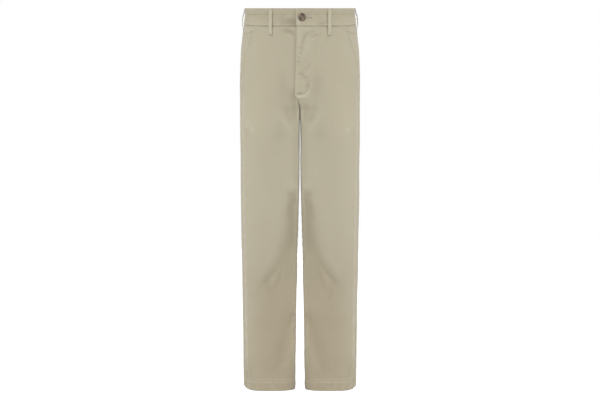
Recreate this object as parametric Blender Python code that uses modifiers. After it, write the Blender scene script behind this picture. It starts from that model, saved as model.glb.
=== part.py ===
"""Chino trousers, filled out and hollow, waist and hems open.

Metres, +Z up, front of the garment towards -Y, wearer's left towards +X.
The origin is the middle of the waist opening, where the wearer holds it.

Every cloth piece is a grid of points on one garment surface, worked out from
the sizes below, and made a wall with Solidify. A level of that surface is a
closed ring round the body above the crotch and one ring round each leg below
it. Each ring is made of a front and a back half, measured along the cloth
from the widest line of the side to the middle (or to the leg's inner line).
The back panels are cut wider than the front ones, so the side seam and the
inseam lie on the front half, a little way in from those lines.
"""

import math

import bmesh
import bpy
import numpy as np
from mathutils import Matrix, Vector

# ---------------------------------------------------------------- sizes (m)
PLY = 0.0012            # one wall of cloth
HEM_PLIES = 2           # the hem is folded in once
GAP = 0.0003            # between pieces at a seam or lap
HALF_GAP = GAP / 2

HEM_Z = -1.011          # bottom edge of both legs
HEM_DEPTH = 0.022       # folded-in hem
CROTCH_Z = -0.268       # where the inseams and the seat seam meet
FRONT_RISE_CURVE = 0.040   # height of the rounded part of the front seam
BACK_RISE_CURVE = 0.130    # height of the rounded part of the seat seam
SEAM_CURVE = 2.4           # how late both turn under, 2 is a parabola
LEG_BLEND_TOP = -0.160     # body turns into legs between these two levels
LEG_BLEND_END = -0.340

TOP_SIDE_Z = 0.0162     # top of the waistband at the widest line
TOP_TILT = 0.173        # its fall towards the front, for each metre of depth
SEAM_SIDE_Z = -0.0287   # waistband seam at the widest line
SEAM_TILT = 0.190
BACK_TILT = 0.090       # both edges rise less towards the back
BAND_PROUD = 0.0008     # waistband face above the panels' face
BAND_WALL = 0.0024      # waistband, two plies and interlining

FLY_LAP = 0.0113        # left front past the middle, at the foot of the fly
FLY_LAP_TOP = 0.0090    # and just under the waistband
FLY_FOOT_Z = -0.231     # bartack at the foot of the fly
LAP_RISE = PLY + 3 * GAP  # left front lifted where it lies on the right one
BAND_LAP = 0.0078       # waistband end past the middle
BAND_UNDER = 0.028      # hidden end of the right half, past the middle
BAND_LAP_RISE = (BAND_WALL + GAP) / 2

POCKET_TOP_IN = 0.091   # pocket mouth from the widest line, along the waist seam
POCKET_FOOT_Z = -0.190  # where the mouth meets the side seam
POCKET_UNDER = 0.0260   # facing carried on under the front panel

LOOP_WIDTH = 0.0098
LOOP_WALL = 0.0016
LOOP_BELOW = 0.0255     # loop's foot below the waistband seam
LOOP_BOW = 0.0080       # clear room for a belt, at the fullest
LOOP_SIDE_BOW = 0.0064  # the same over the side seams
LOOP_FRONT_X = 0.078

BUTTON_R = 0.0103
BUTTON_T = 0.0036
BUTTON_X = 0.0052
BUTTON_Z = -0.0276
BUTTON_HOLE_R = 0.0011
BUTTON_HOLE_OUT = 0.0026
BUTTON_TURN = math.radians(8)   # right edge drawn into the buttonhole

SQUARE_FRONT = 2.5      # roundness of the ring, 2 is an ellipse
SQUARE_BACK = 2.25
SQUARE_LEG = 2.3
SQUARE_INNER = 4.5      # front of a leg beside its inner line, flatter
ROUNDER_FROM = -0.870   # and from here down growing round again

# The garment at each level, z its height.
#  side    outline at the widest line, from the middle
#  widest  that line's own place along Y
OUTLINE = {
    "z":    ( 0.030,  0.014, -0.031, -0.050, -0.073, -0.100, -0.127, -0.181, -0.230, -0.290, -0.343, -0.397, -0.451, -0.505, -0.559, -0.613, -0.667, -0.721, -0.775, -0.829, -0.883, -0.937, -0.980, -1.011),
    "side": (0.1456, 0.1470, 0.1508, 0.1529, 0.1559, 0.1588, 0.1605, 0.1620, 0.1614, 0.1615, 0.1612, 0.1606, 0.1601, 0.1597, 0.1589, 0.1578, 0.1572, 0.1560, 0.1549, 0.1546, 0.1538, 0.1530, 0.1520, 0.1498),
    "widest": (0.0100, 0.0100, 0.0110, 0.0120, 0.0130, 0.0140, 0.0150, 0.0165, 0.0165, 0.0155, 0.0140, 0.0130, 0.0115, 0.0105, 0.0095, 0.0095, 0.0105, 0.0120, 0.0130, 0.0130, 0.0110, 0.0060, 0.0010, -0.0010),
}
# Where the seams lie, forward of those lines along the cloth.
SEAMS = {
    "z":      (-0.031, -0.100, -0.181, -0.300, -0.451, -0.560, -0.700, -0.829, -0.937, -1.011),
    "side":   (0.0280, 0.0320, 0.0360, 0.0385, 0.0380, 0.0365, 0.0345, 0.0330, 0.0310, 0.0300),
    "inseam": (0.0000, 0.0000, 0.0000, 0.0000, 0.0000, 0.0010, 0.0090, 0.0150, 0.0160, 0.0160),
}
#  front, back  depth of the body from its middle
BODY = {
    "z":     ( 0.030,  0.014, -0.031, -0.050, -0.073, -0.100, -0.127, -0.155, -0.181, -0.205, -0.230, -0.260, -0.290, -0.340),
    "front": (0.0970, 0.0985, 0.1020, 0.1040, 0.1060, 0.1080, 0.1100, 0.1115, 0.1125, 0.1128, 0.1125, 0.1110, 0.1085, 0.1035),
    "back":  (0.1025, 0.1040, 0.1065, 0.1090, 0.1130, 0.1175, 0.1218, 0.1248, 0.1262, 0.1262, 0.1245, 0.1195, 0.1130, 0.1030),
}
#  inner        inner line, from the middle
#  line         the inner line's place along Y, forward of the widest line
#  front, back  depth of the leg from its widest line
LEG = {
    "z":     (-0.140, -0.181, -0.230, -0.268, -0.300, -0.343, -0.397, -0.451, -0.505, -0.559, -0.613, -0.667, -0.721, -0.775, -0.829, -0.883, -0.937, -0.980, -1.011),
    "inner": (0.0002, 0.0002, 0.0002, 0.0003, 0.0007, 0.0012, 0.0016, 0.0023, 0.0038, 0.0051, 0.0066, 0.0077, 0.0086, 0.0096, 0.0107, 0.0112, 0.0118, 0.0127, 0.0136),
    "line": (-0.0700, -0.0720, -0.0740, -0.0740, -0.0730, -0.0700, -0.0660, -0.0610, -0.0560, -0.0510, -0.0470, -0.0440, -0.0410, -0.0380, -0.0345, -0.0295, -0.0210, -0.0120, -0.0060),
    "front": (0.1260, 0.1290, 0.1280, 0.1250, 0.1215, 0.1160, 0.1085, 0.1010, 0.0945, 0.0895, 0.0855, 0.0815, 0.0765, 0.0720, 0.0675, 0.0630, 0.0565, 0.0517, 0.0510),
    "back":  (0.1110, 0.1125, 0.1085, 0.1010, 0.0935, 0.0845, 0.0760, 0.0690, 0.0630, 0.0580, 0.0550, 0.0545, 0.0550, 0.0540, 0.0525, 0.0515, 0.0540, 0.0573, 0.0580),
}
# Foot of the fly to the crotch: how far the front seam lies off the middle.
FRONT_SEAM = {
    "z":   (-0.231, -0.239, -0.2466, -0.2530, -0.2595, -0.2650, -0.268),
    "off": (0.0113, 0.0092, 0.0064, 0.0036, 0.0014, 0.0003, 0.0000),
}

# Largest folds. Each is a soft ridge (+) or trough (-) along a straight line
# in the front view, the same on both legs.
#  face, x and z of its two ends, half width, height
FOLDS = (
    # face,    x0,     z0,     x1,     z1,    half,   rise
    ("front", 0.058, -0.285, 0.022, -0.318, 0.0090, +0.0022),   # drag line from the crotch
    ("front", 0.030, -0.272, 0.012, -0.300, 0.0110, -0.0016),
    ("front", 0.066, -0.318, 0.040, -0.342, 0.0150, -0.0016),
    ("front", 0.046, -0.668, 0.096, -0.712, 0.0110, +0.0020),   # knee
    ("front", 0.040, -0.692, 0.090, -0.728, 0.0110, -0.0022),
    ("back",  0.020, -0.270, 0.070, -0.302, 0.0130, -0.0026),   # under the seat
    ("back",  0.018, -0.300, 0.062, -0.330, 0.0120, +0.0020),
    ("back",  0.030, -0.625, 0.120, -0.650, 0.0140, -0.0026),   # behind the knee
    ("back",  0.030, -0.655, 0.120, -0.668, 0.0130, +0.0022),
)

# Heights of the cloth grid, from the waistband seam to the hem.
GRID_Z = (
    -0.031, -0.050, -0.078, -0.108, -0.140, -0.168, -0.190, -0.209, -0.222,
    -0.234, -0.2446, -0.2530, -0.2610, -0.268, -0.278, -0.292, -0.311,
    -0.337, -0.375, -0.420, -0.470, -0.525, -0.580, -0.625, -0.655, -0.682,
    -0.710, -0.740, -0.785, -0.840, -0.900, -0.955, HEM_Z + HEM_DEPTH,
    HEM_Z + HEM_DEPTH - 0.0008, HEM_Z,
)
EDGE_COLUMN = 0.0015    # narrow first and last column, so the seams stay square
COLUMNS = 10            # between them
CLOSER = 1.3            # columns close up towards the middle, where legs turn in
LAP_COLUMNS = (         # left front: columns back from its edge, at the fly and down the leg
    (0.0235, 0.0120),
    (0.0125, 0.0052),
    (0.0065, EDGE_COLUMN),
)

COLOURS = {
    "khaki_twill": (0.452, 0.392, 0.282, 1.0),
    "dark_button": (0.085, 0.065, 0.048, 1.0),
}
LOOK = {  # roughness, metallic
    "khaki_twill": (0.92, 0.0),
    "dark_button": (0.38, 0.0),
}


# ------------------------------------------------------------ small helpers
def smooth(x):
    x = min(max(x, 0.0), 1.0)
    return x * x * (3.0 - 2.0 * x)


def read(table, column, z):
    """A table's column at height z, on a smooth curve that never overshoots."""
    zs, vs = table["z"], table[column]
    if z >= zs[0]:
        return vs[0]
    if z <= zs[-1]:
        return vs[-1]
    i = next(k for k in range(len(zs) - 1) if zs[k + 1] <= z)

    def rate(k):
        return (vs[k + 1] - vs[k]) / (zs[k + 1] - zs[k])

    def slope(k):
        if k == 0 or k == len(zs) - 1:
            return rate(min(k, len(zs) - 2))
        a, b = rate(k - 1), rate(k)
        return 0.0 if a * b <= 0 else 2.0 * a * b / (a + b)

    h = zs[i + 1] - zs[i]
    t = (z - zs[i]) / h
    a, b = slope(i), slope(i + 1)
    return (
        vs[i] * (1 + 2 * t) * (1 - t) ** 2
        + vs[i + 1] * t * t * (3 - 2 * t)
        + h * a * t * (1 - t) ** 2
        - h * b * t * t * (1 - t)
    )


# ---------------------------------------------------------- garment surface
SAMPLES = 128
_rings = {}


def ring(face, z):
    """Half ring at height z: points from the widest line to the middle or the
    leg's inner line, wearer's left, with the length of cloth up to each.

    The body's depth and the leg's depth are mixed at each place across. At
    the middle the mix runs down the rounded front or seat seam, from all
    body at its top to all leg at the crotch."""
    key = (face, round(z, 6))
    if key in _rings:
        return _rings[key]
    way = -1.0 if face == "front" else 1.0
    rise_curve = FRONT_RISE_CURVE if face == "front" else BACK_RISE_CURVE
    square = SQUARE_FRONT if face == "front" else SQUARE_BACK
    side, widest = read(OUTLINE, "side", z), read(OUTLINE, "widest", z)
    inner = read(LEG, "inner", z)
    mid, half = (side + inner) / 2, (side - inner) / 2

    down = min(max((CROTCH_Z + rise_curve - z) / rise_curve, 0.0), 1.0)
    at_middle = down ** SEAM_CURVE
    across = smooth((LEG_BLEND_TOP - z) / (LEG_BLEND_TOP - LEG_BLEND_END))

    u = np.linspace(0.0, 1.0, SAMPLES + 1)
    turn = np.cos(u * math.pi)
    bent = np.sign(turn) * np.abs(turn) ** (2.0 / SQUARE_LEG)
    x = mid + half * bent
    if at_middle < 1.0:
        x = x - inner * (1.0 - at_middle) * u ** 6
    body = (read(BODY, face, z) - way * widest) * np.clip(1.0 - (x / side) ** square, 0.0, 1.0) ** (1.0 / square)
    flatter = (SQUARE_INNER - SQUARE_LEG) * smooth((z - HEM_Z + 0.040) / (ROUNDER_FROM - HEM_Z + 0.040))
    power = np.where(bent < 0.0, SQUARE_LEG + (flatter if face == "front" else 0.0), SQUARE_LEG)
    base = widest + (read(LEG, "line", z) - widest) * (1.0 - bent) / 2
    full = widest + way * read(LEG, face, z)
    leg = base + (full - base) * np.clip(1.0 - np.abs(bent) ** power, 0.0, 1.0) ** (1.0 / power)
    near = np.clip((0.062 - x) / 0.044, 0.0, 1.0)      # 1 beside the middle
    t = across + (at_middle - across) * near * near * (3.0 - 2.0 * near)
    points = np.stack((x, (1.0 - t) * (widest + way * body) + t * leg), 1)
    along = np.concatenate(((0.0,), np.cumsum(np.hypot(*np.diff(points, axis=0).T))))
    _rings[key] = (points, along)
    return _rings[key]


def cloth_width(face, z):
    return ring(face, z)[1][-1]


OTHER = {"front": "back", "back": "front"}


def on_ring(face, s, z):
    """Point at cloth length s from the widest line. Less than nothing is on
    the other face. More than the half ring is over the middle, on the
    wearer's other side, or round the inner line of the same leg."""
    if s < 0.0:
        return on_ring(OTHER[face], -s, z)
    points, along = ring(face, z)
    total = along[-1]
    over = s > total
    if over and z < CROTCH_Z:
        return on_ring(OTHER[face], cloth_width(OTHER[face], z) - (s - total), z)
    s_in = min(max(2 * total - s if over else s, 0.0), total)
    x = float(np.interp(s_in, along, points[:, 0]))
    y = float(np.interp(s_in, along, points[:, 1]))
    return Vector((-x if over else x, y, z))


def outward(face, s, z):
    """Unit normal of the garment surface, out of the cloth."""
    f = s / cloth_width(face, z)
    ds, dz = 0.0012, 0.0012
    a = on_ring(face, s - ds, z)
    b = on_ring(face, s + ds, z)
    top = on_ring(face, f * cloth_width(face, z + dz), z + dz)
    low = on_ring(face, f * cloth_width(face, z - dz), z - dz)
    n = (b - a).cross(top - low)
    n.normalize()
    return -n if face == "front" else n


def fold_rise(face, x, z):
    rise = 0.0
    for where, x0, z0, x1, z1, half, height in FOLDS:
        if where != face:
            continue
        ax, az = x1 - x0, z1 - z0
        px, pz = abs(x) - x0, z - z0
        k = (px * ax + pz * az) / (ax * ax + az * az)
        kc = min(max(k, 0.0), 1.0)
        off = math.hypot(px - kc * ax, pz - kc * az) / half
        rise += height * math.exp(-off * off) * smooth((k + 0.35) / 0.5) * smooth((1.35 - k) / 0.5)
    return rise * smooth((abs(x) - 0.004) / 0.018)   # none where the legs meet


def spot(face, s, z, proud=0.0):
    """Point of the cloth's outer face, moved out by proud."""
    p = on_ring(face, s, z)
    n = outward(face, s, z)
    lies_on = "front" if p.y < read(OUTLINE, "widest", z) else "back"
    edge = smooth(abs(p.y - read(OUTLINE, "widest", z)) / 0.02)
    return p + n * (proud + edge * fold_rise(lies_on, p.x, z)), n


def band_edge(face, s, z, side_z, front_tilt):
    """Height of a waistband edge at cloth length s, falling from the widest
    line to the front and rising to the back."""
    if s < 0.0:
        return band_edge(OTHER[face], -s, z, side_z, front_tilt)
    tilt = front_tilt if face == "front" else BACK_TILT
    share = s / cloth_width(face, z)
    for _ in range(3):
        y = on_ring(face, min(share, 2 - share) * cloth_width(face, z), z).y
        z = side_z + tilt * (y - read(OUTLINE, "widest", z))
    return z


def seam_height(face, s):
    return band_edge(face, s, GRID_Z[0], SEAM_SIDE_Z, SEAM_TILT)


def top_height(face, s):
    return band_edge(face, s, GRID_Z[0], TOP_SIDE_Z, TOP_TILT)


def on_row(face, row, s, proud=0.0):
    """Point and normal at cloth length s of a grid row. The row's real
    height, and with it the length of cloth round it, changes along it."""
    nominal = cloth_width(face, GRID_Z[row])
    z = panel_height(face, row, s)
    return spot(face, s * cloth_width(face, z) / nominal, z, proud)


def panel_height(face, row, s):
    """Height of grid row at s: the top row follows the waistband seam, and
    the rows below level out by the hip."""
    z = GRID_Z[row]
    follow = smooth((z + 0.172) / (0.172 - 0.031))
    return z + follow * (seam_height(face, s) - HALF_GAP - GRID_Z[0])


# ---------------------------------------------------------- Blender helpers
def clear():
    for thing in list(bpy.data.objects):
        bpy.data.objects.remove(thing, do_unlink=True)


def material(name):
    mat = bpy.data.materials.new(name)
    mat.use_nodes = True
    shader = mat.node_tree.nodes["Principled BSDF"]
    base = "dark_button" if name.startswith("button") else "khaki_twill"
    shader.inputs["Base Color"].default_value = COLOURS[base]
    shader.inputs["Roughness"].default_value = LOOK[base][0]
    shader.inputs["Metallic"].default_value = LOOK[base][1]
    mat.diffuse_color = COLOURS[base]
    return mat


def new_object(name, mesh, collection, parent):
    obj = bpy.data.objects.new(name, mesh)
    collection.objects.link(obj)
    obj.parent = parent
    mesh.materials.append(material(name + "_cloth" if name != "button" else "button_plastic"))
    return obj


def wall(name, grid, normals, collection, parent, thickness=PLY, full_rows=()):
    """Cloth piece: the grid as an open sheet whose faces look along the
    normals, made a wall inwards. Rows in full_rows have every ply."""
    rows, cols = len(grid), len(grid[0])
    bm = bmesh.new()
    verts = [[bm.verts.new(p) for p in row] for row in grid]
    for i in range(rows - 1):
        for j in range(cols - 1):
            bm.faces.new((verts[i][j], verts[i + 1][j], verts[i + 1][j + 1], verts[i][j + 1]))
    bm.normal_update()
    i, j = rows // 2, cols // 2
    if verts[i][j].normal.dot(normals[i][j]) < 0:
        bmesh.ops.reverse_faces(bm, faces=bm.faces[:])
    mesh = bpy.data.meshes.new(name)
    bm.to_mesh(mesh)
    bm.free()
    obj = new_object(name, mesh, collection, parent)
    if full_rows:
        plies = obj.vertex_groups.new(name="plies")
        for row in range(rows):
            plies.add(
                list(range(row * cols, (row + 1) * cols)),
                1.0 if row in full_rows else 1.0 / HEM_PLIES,
                "REPLACE",
            )
    solid = obj.modifiers.new("wall", "SOLIDIFY")
    solid.thickness = thickness * (HEM_PLIES if full_rows else 1)
    solid.offset = -1.0
    solid.use_rim = True
    if full_rows:
        solid.vertex_group = "plies"
    for polygon in mesh.polygons:
        polygon.use_smooth = True
    mesh.set_sharp_from_angle(angle=math.radians(50))
    return obj


def mirrored(grid, normals):
    flip = Matrix.Diagonal((-1, 1, 1, 1)).to_3x3()
    return [[flip @ p for p in row] for row in grid], [[flip @ n for n in row] for row in normals]


# ------------------------------------------------------------------ panels
def pocket_edge(z, s_top_z):
    """Cloth length from the widest line to the pocket mouth at height z."""
    k = (z - POCKET_FOOT_Z) / (s_top_z - POCKET_FOOT_Z)
    seam = read(SEAMS, "side", z)
    return seam + max((POCKET_TOP_IN - seam) * min(max(k, 0.0), 1.0) ** 1.05, HALF_GAP)


def mouth_on_row(row):
    """Cloth length to the pocket mouth on a grid row, whose height itself
    varies with that length."""
    top = seam_height("front", POCKET_TOP_IN)
    s = POCKET_TOP_IN / 2
    for _ in range(6):
        s = pocket_edge(panel_height("front", row, s), top)
    return POCKET_TOP_IN if row == 0 else s


def spread(first, stop):
    """Columns between two cloth lengths, closing up towards the second."""
    return [first + (stop - first) * (1.0 - (1.0 - k / COLUMNS) ** CLOSER) for k in range(COLUMNS + 1)]


def near_crotch(z):
    """Seam pieces stand a little further apart where four of them meet."""
    return 0.0007 * smooth(1 - abs(z - CROTCH_Z) / 0.016)


def front_columns(row, left):
    """Cloth lengths of one row of a front panel, side edge to middle edge."""
    z = GRID_Z[row]
    start = mouth_on_row(row) if z > POCKET_FOOT_Z else read(SEAMS, "side", z) + HALF_GAP
    total = cloth_width("front", z)
    if z <= CROTCH_Z:
        end = total - read(SEAMS, "inseam", z) - HALF_GAP - near_crotch(z)
    elif left:
        lap = FLY_LAP_TOP + (FLY_LAP - FLY_LAP_TOP) * smooth((-0.05 - z) / 0.18)
        lap = read(FRONT_SEAM, "off", z) if z < FLY_FOOT_Z else lap
        end = total + lap - HALF_GAP - near_crotch(z)
    else:
        # Hidden edge under the fly, then the seam below its foot.
        lap = read(FRONT_SEAM, "off", z) if z < FLY_FOOT_Z else 0.001
        end = total - lap - HALF_GAP - near_crotch(z)
    first = start + EDGE_COLUMN
    if not left:
        return [start] + spread(first, end - EDGE_COLUMN) + [end]
    # The fly's lap has its own columns; down the leg they close up to the seam.
    low = smooth((FLY_FOOT_Z - z) / (FLY_FOOT_Z - CROTCH_Z))
    back_by = [a + (b - a) * low for a, b in LAP_COLUMNS]
    return [start] + spread(first, end - back_by[0]) + [end - d for d in back_by[1:]] + [end]


def front_panel(left):
    grid, normals = [], []
    for row in range(len(GRID_Z)):
        z_row = GRID_Z[row]
        total = cloth_width("front", z_row)
        held = smooth((z_row + 0.2446) / 0.0106)   # lap lies flat below the fly
        points, outs = [], []
        for s in front_columns(row, left):
            rise = LAP_RISE * held * smooth((s - (total - 0.0140)) / 0.0105) if left else 0.0
            p, n = on_row("front", row, s, rise)
            points.append(p)
            outs.append(n)
        grid.append(points)
        normals.append(outs)
    return (grid, normals) if left else mirrored(grid, normals)


def back_panel(left):
    grid, normals = [], []
    for row in range(len(GRID_Z)):
        z = GRID_Z[row]
        start = HALF_GAP - read(SEAMS, "side", z)
        end = cloth_width("back", z) + read(SEAMS, "inseam", z) - HALF_GAP - near_crotch(z)
        points, outs = [], []
        for s in [start] + spread(start + EDGE_COLUMN, end - EDGE_COLUMN) + [end]:
            p, n = on_row("back", row, s)
            points.append(p)
            outs.append(n)
        grid.append(points)
        normals.append(outs)
    return (grid, normals) if left else mirrored(grid, normals)


def facing_panel(left):
    """Hip piece behind the pocket mouth. It joins the side seam and carries
    on under the front panel, on the front panel's own columns there."""
    grid, normals = [], []
    rows = [r for r in range(len(GRID_Z)) if GRID_Z[r] > POCKET_FOOT_Z - 0.015]
    for row in rows:
        columns = front_columns(row, left)
        mouth = columns[0]
        seam = read(SEAMS, "side", GRID_Z[row])
        edge = max(mouth - seam - 0.002, 0.0021)
        turn = max(mouth - seam - 0.012, edge * 0.72)
        shown = [seam + w for w in (HALF_GAP, max(edge * 0.30, 0.0006), max(turn * 0.98, 0.0012), edge)]
        under = [max(columns[1], seam + 0.0032), min(columns[2], columns[1] + POCKET_UNDER)]
        points, outs = [], []
        for s in shown + under:
            dip = (PLY + GAP) * smooth((s - (mouth - 0.012)) / 0.009)
            p, n = on_row("front", row, s, -dip)
            points.append(p)
            outs.append(n)
        grid.append(points)
        normals.append(outs)
    return (grid, normals) if left else mirrored(grid, normals)


# --------------------------------------------------------------- waistband
BAND_STEPS = 11         # columns along each quarter


def band_half(left):
    """One half of the waistband, seat seam to front end. The left end laps
    over the right one, whose end carries on under it."""
    stations = []
    back_total = cloth_width("back", TOP_SIDE_Z)
    for k in range(BAND_STEPS + 1):
        stations.append(("back", back_total - HALF_GAP - (back_total - HALF_GAP) * k / BAND_STEPS))
    front_total = cloth_width("front", -0.03)
    bend = front_total - 0.048          # where the lap starts to part
    for k in range(1, BAND_STEPS - 1):
        stations.append(("front", bend * k / (BAND_STEPS - 2)))
    past = BAND_LAP if left else BAND_UNDER
    steps = 4 if left else 6
    for k in range(1, steps + 1):
        stations.append(("front", bend + (front_total + past - bend) * k / steps))

    grid, normals = [], []
    for share in (0.0, 0.5, 1.0):
        points, outs = [], []
        for face, s in stations:
            total = cloth_width(face, -0.03)
            s_near = min(s, 2 * total - s) if face == "front" else s
            low = seam_height(face, s_near) + HALF_GAP
            high = top_height(face, s_near)
            z = low + (high - low) * share
            if face == "front":
                # Distance past the middle, positive on the other side.
                past_middle = s - total
                if left:
                    step = BAND_LAP_RISE * smooth((past_middle + 0.046) / 0.014)
                else:
                    step = -BAND_LAP_RISE * smooth((past_middle + 0.024) / 0.012)
                s_here = cloth_width(face, z) + past_middle if past_middle > -0.048 else s * (cloth_width(face, z) - 0.048) / (total - 0.048)
            else:
                step, s_here = 0.0, (s / back_total) * (cloth_width(face, z) - HALF_GAP)
            p = on_ring(face, s_here, z)
            n = outward(face, s_here, z)
            n = Vector((n.x, n.y, 0.0)).normalized()
            points.append(p + n * (BAND_PROUD + step))
            outs.append(n)
        grid.append(points)
        normals.append(outs)
    return (grid, normals) if left else mirrored(grid, normals)


# --------------------------------------------------------------- belt loops
#  share of the way down a loop, and its inner face's distance from the band
#  as a share of the bow: at the front and back, and over the side seams
LOOP_PATH = {
    "share": (0.00, 0.05, 0.13, 0.22, 0.30, 0.38, 0.48, 0.58, 0.66, 0.74, 0.82, 0.90, 1.00),
    "out":   (0.04, 0.22, 0.56, 0.82, 0.95, 0.99, 1.00, 0.95, 0.86, 0.70, 0.46, 0.20, 0.04),
    "side":  (0.04, 0.10, 0.28, 0.58, 0.82, 0.95, 1.00, 0.90, 0.70, 0.43, 0.19, 0.07, 0.04),
}


def length_at_x(face, x, z):
    """Cloth length from the side seam to the place at x in the front view."""
    points, along = ring(face, z)
    return float(np.interp(-x, -points[:, 0], along))


def belt_loop(face, x, flip):
    """A narrow upright strip, sewn at the waistband's top edge and below its
    seam, standing clear of the band between for the belt. An x past the
    outline puts it over the side seam."""
    s = length_at_x(face, x, GRID_Z[0])
    seam = seam_height(face, s)
    top, foot = top_height(face, s) - 0.0004, seam - LOOP_BELOW
    n = outward(face, s, GRID_Z[0])
    n = Vector((n.x, n.y, 0.0)).normalized() if x > 0 else Vector((0.0, 1.0, 0.0))
    across = Vector((-n.y, n.x, 0.0))
    at_side = x > read(OUTLINE, "side", GRID_Z[0])
    bow = LOOP_SIDE_BOW if at_side else LOOP_BOW
    grid, normals = [], []
    for share, out in zip(LOOP_PATH["share"], LOOP_PATH["side" if at_side else "out"]):
        z = top + (foot - top) * share
        proud = BAND_PROUD * smooth((z - seam + 0.006) / 0.006) + 0.0005
        p = on_ring(face, length_at_x(face, x, z), z)
        centre = p + n * (proud + LOOP_WALL + out * bow)
        grid.append([centre - across * LOOP_WIDTH / 2, centre + across * LOOP_WIDTH / 2])
        normals.append([n, n])
    return mirrored(grid, normals) if flip else (grid, normals)


# ------------------------------------------------------------------ button
def button(collection, parent, cutters):
    """Turned disc with a raised rim and a dished middle, four holes through."""
    total = cloth_width("front", BUTTON_Z)
    s = total - BUTTON_X
    p, n = on_ring("front", s, BUTTON_Z), outward("front", s, BUTTON_Z)
    n = Vector((n.x, n.y, 0.0)).normalized()
    reach = BUTTON_R * math.sin(BUTTON_TURN)
    seat = BAND_PROUD + BAND_LAP_RISE + GAP + 0.0004 + reach
    r, t = BUTTON_R, BUTTON_T
    profile = (  # distance from the axis, height above the back face
        (0.0, t - 0.0011), (r * 0.42, t - 0.0011), (r * 0.60, t - 0.0008),
        (r * 0.74, t - 0.0001), (r * 0.86, t), (r * 0.95, t - 0.0004),
        (r, t * 0.60), (r * 0.97, t * 0.30), (r * 0.84, 0.0), (0.0, 0.0),
    )
    mesh = bpy.data.meshes.new("button")
    mesh.from_pydata([(x, 0.0, z) for x, z in profile], [(k, k + 1) for k in range(len(profile) - 1)], [])
    obj = new_object("button", mesh, collection, parent)
    screw = obj.modifiers.new("turn", "SCREW")
    screw.axis = "Z"
    screw.steps = screw.render_steps = 28
    screw.use_merge_vertices = True
    screw.merge_threshold = 0.00005
    screw.use_normal_calculate = False
    screw.use_smooth_shade = True

    holes = []
    for k in range(4):
        a = math.radians(45 + 90 * k)
        bpy.ops.mesh.primitive_cylinder_add(
            vertices=10, radius=BUTTON_HOLE_R, depth=4 * BUTTON_T,
            location=(BUTTON_HOLE_OUT * math.cos(a), BUTTON_HOLE_OUT * math.sin(a), BUTTON_T / 2),
        )
        holes.append(bpy.context.active_object)
    cutter_mesh = bmesh.new()
    for hole in holes:
        part = hole.data.copy()
        part.transform(Matrix.Translation(hole.location))
        cutter_mesh.from_mesh(part)
        bpy.data.objects.remove(hole, do_unlink=True)
    joined = bpy.data.meshes.new("button_holes")
    cutter_mesh.to_mesh(joined)
    cutter_mesh.free()
    cutter = bpy.data.objects.new("button_holes", joined)
    cutter.hide_render = True
    cutter.display_type = "WIRE"
    cutters.objects.link(cutter)
    cutter.parent = parent
    cut = obj.modifiers.new("holes", "BOOLEAN")
    cut.operation = "DIFFERENCE"
    cut.object = cutter
    cut.solver = "EXACT"

    # Disc axis along the cloth's normal, turned so its right edge sinks in.
    x_axis = Vector((0, 0, 1)).cross(n)
    x_axis.normalize()
    place = Matrix((x_axis, n.cross(x_axis), n)).transposed().to_4x4()
    place = Matrix.Translation(p + n * seat) @ Matrix.Rotation(BUTTON_TURN, 4, "Z") @ place
    obj.matrix_world = place
    cutter.matrix_world = place
    return obj


# -------------------------------------------------------------------- build
def build():
    clear()
    garment = bpy.data.collections.new("chino_trousers")
    cutters = bpy.data.collections.new("cutters")
    for collection in (garment, cutters):
        bpy.context.scene.collection.children.link(collection)
    root = bpy.data.objects.new("waist", None)
    garment.objects.link(root)

    hem_rows = {len(GRID_Z) - 2, len(GRID_Z) - 1}
    for side, left in (("left", True), ("right", False)):
        wall(f"front_{side}", *front_panel(left), garment, root, full_rows=hem_rows)
        wall(f"back_{side}", *back_panel(left), garment, root, full_rows=hem_rows)
        wall(f"pocket_facing_{side}", *facing_panel(left), garment, root)
        wall(f"waistband_{side}", *band_half(left), garment, root, thickness=BAND_WALL)

    for side, flip in (("left", False), ("right", True)):
        wall(f"loop_front_{side}", *belt_loop("front", LOOP_FRONT_X, flip), garment, root, thickness=LOOP_WALL)
        wall(f"loop_side_{side}", *belt_loop("back", 1.0, flip), garment, root, thickness=LOOP_WALL)
    wall("loop_back", *belt_loop("back", 0.0, False), garment, root, thickness=LOOP_WALL)
    button(garment, root, cutters)


build()
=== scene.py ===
import math

import bpy
import numpy as np
from mathutils import Matrix, Vector


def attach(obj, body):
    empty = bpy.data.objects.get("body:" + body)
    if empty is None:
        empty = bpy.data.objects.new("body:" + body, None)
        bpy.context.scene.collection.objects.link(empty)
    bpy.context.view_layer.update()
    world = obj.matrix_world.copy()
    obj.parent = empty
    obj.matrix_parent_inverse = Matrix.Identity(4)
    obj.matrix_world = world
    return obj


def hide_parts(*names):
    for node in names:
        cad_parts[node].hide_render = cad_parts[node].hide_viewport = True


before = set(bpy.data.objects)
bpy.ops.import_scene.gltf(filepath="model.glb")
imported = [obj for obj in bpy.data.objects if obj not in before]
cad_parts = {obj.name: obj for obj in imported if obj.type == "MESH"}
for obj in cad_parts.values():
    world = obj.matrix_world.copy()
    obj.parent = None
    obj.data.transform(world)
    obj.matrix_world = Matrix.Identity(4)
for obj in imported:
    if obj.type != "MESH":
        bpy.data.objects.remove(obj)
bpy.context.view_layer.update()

# =================================================================== sizes
# The garment surface is the one the solids are made on, sampled finely.
GAP = 0.0003
CLOTH = 0.0009            # one ply of twill
HEM_Z = -1.011
HEM_DEPTH = 0.022
CROTCH_Z = -0.268
RISE_CURVE = (0.040, 0.130)     # front, back
SEAM_CURVE = (2.4, 2.4)
LEG_BLEND_TOP, LEG_BLEND_END = -0.160, -0.340
TOP_SIDE_Z, TOP_TILT = 0.0162, 0.173
SEAM_SIDE_Z, SEAM_TILT = -0.0287, 0.190
BACK_TILT = 0.090
BAND_PROUD = 0.0008
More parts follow.
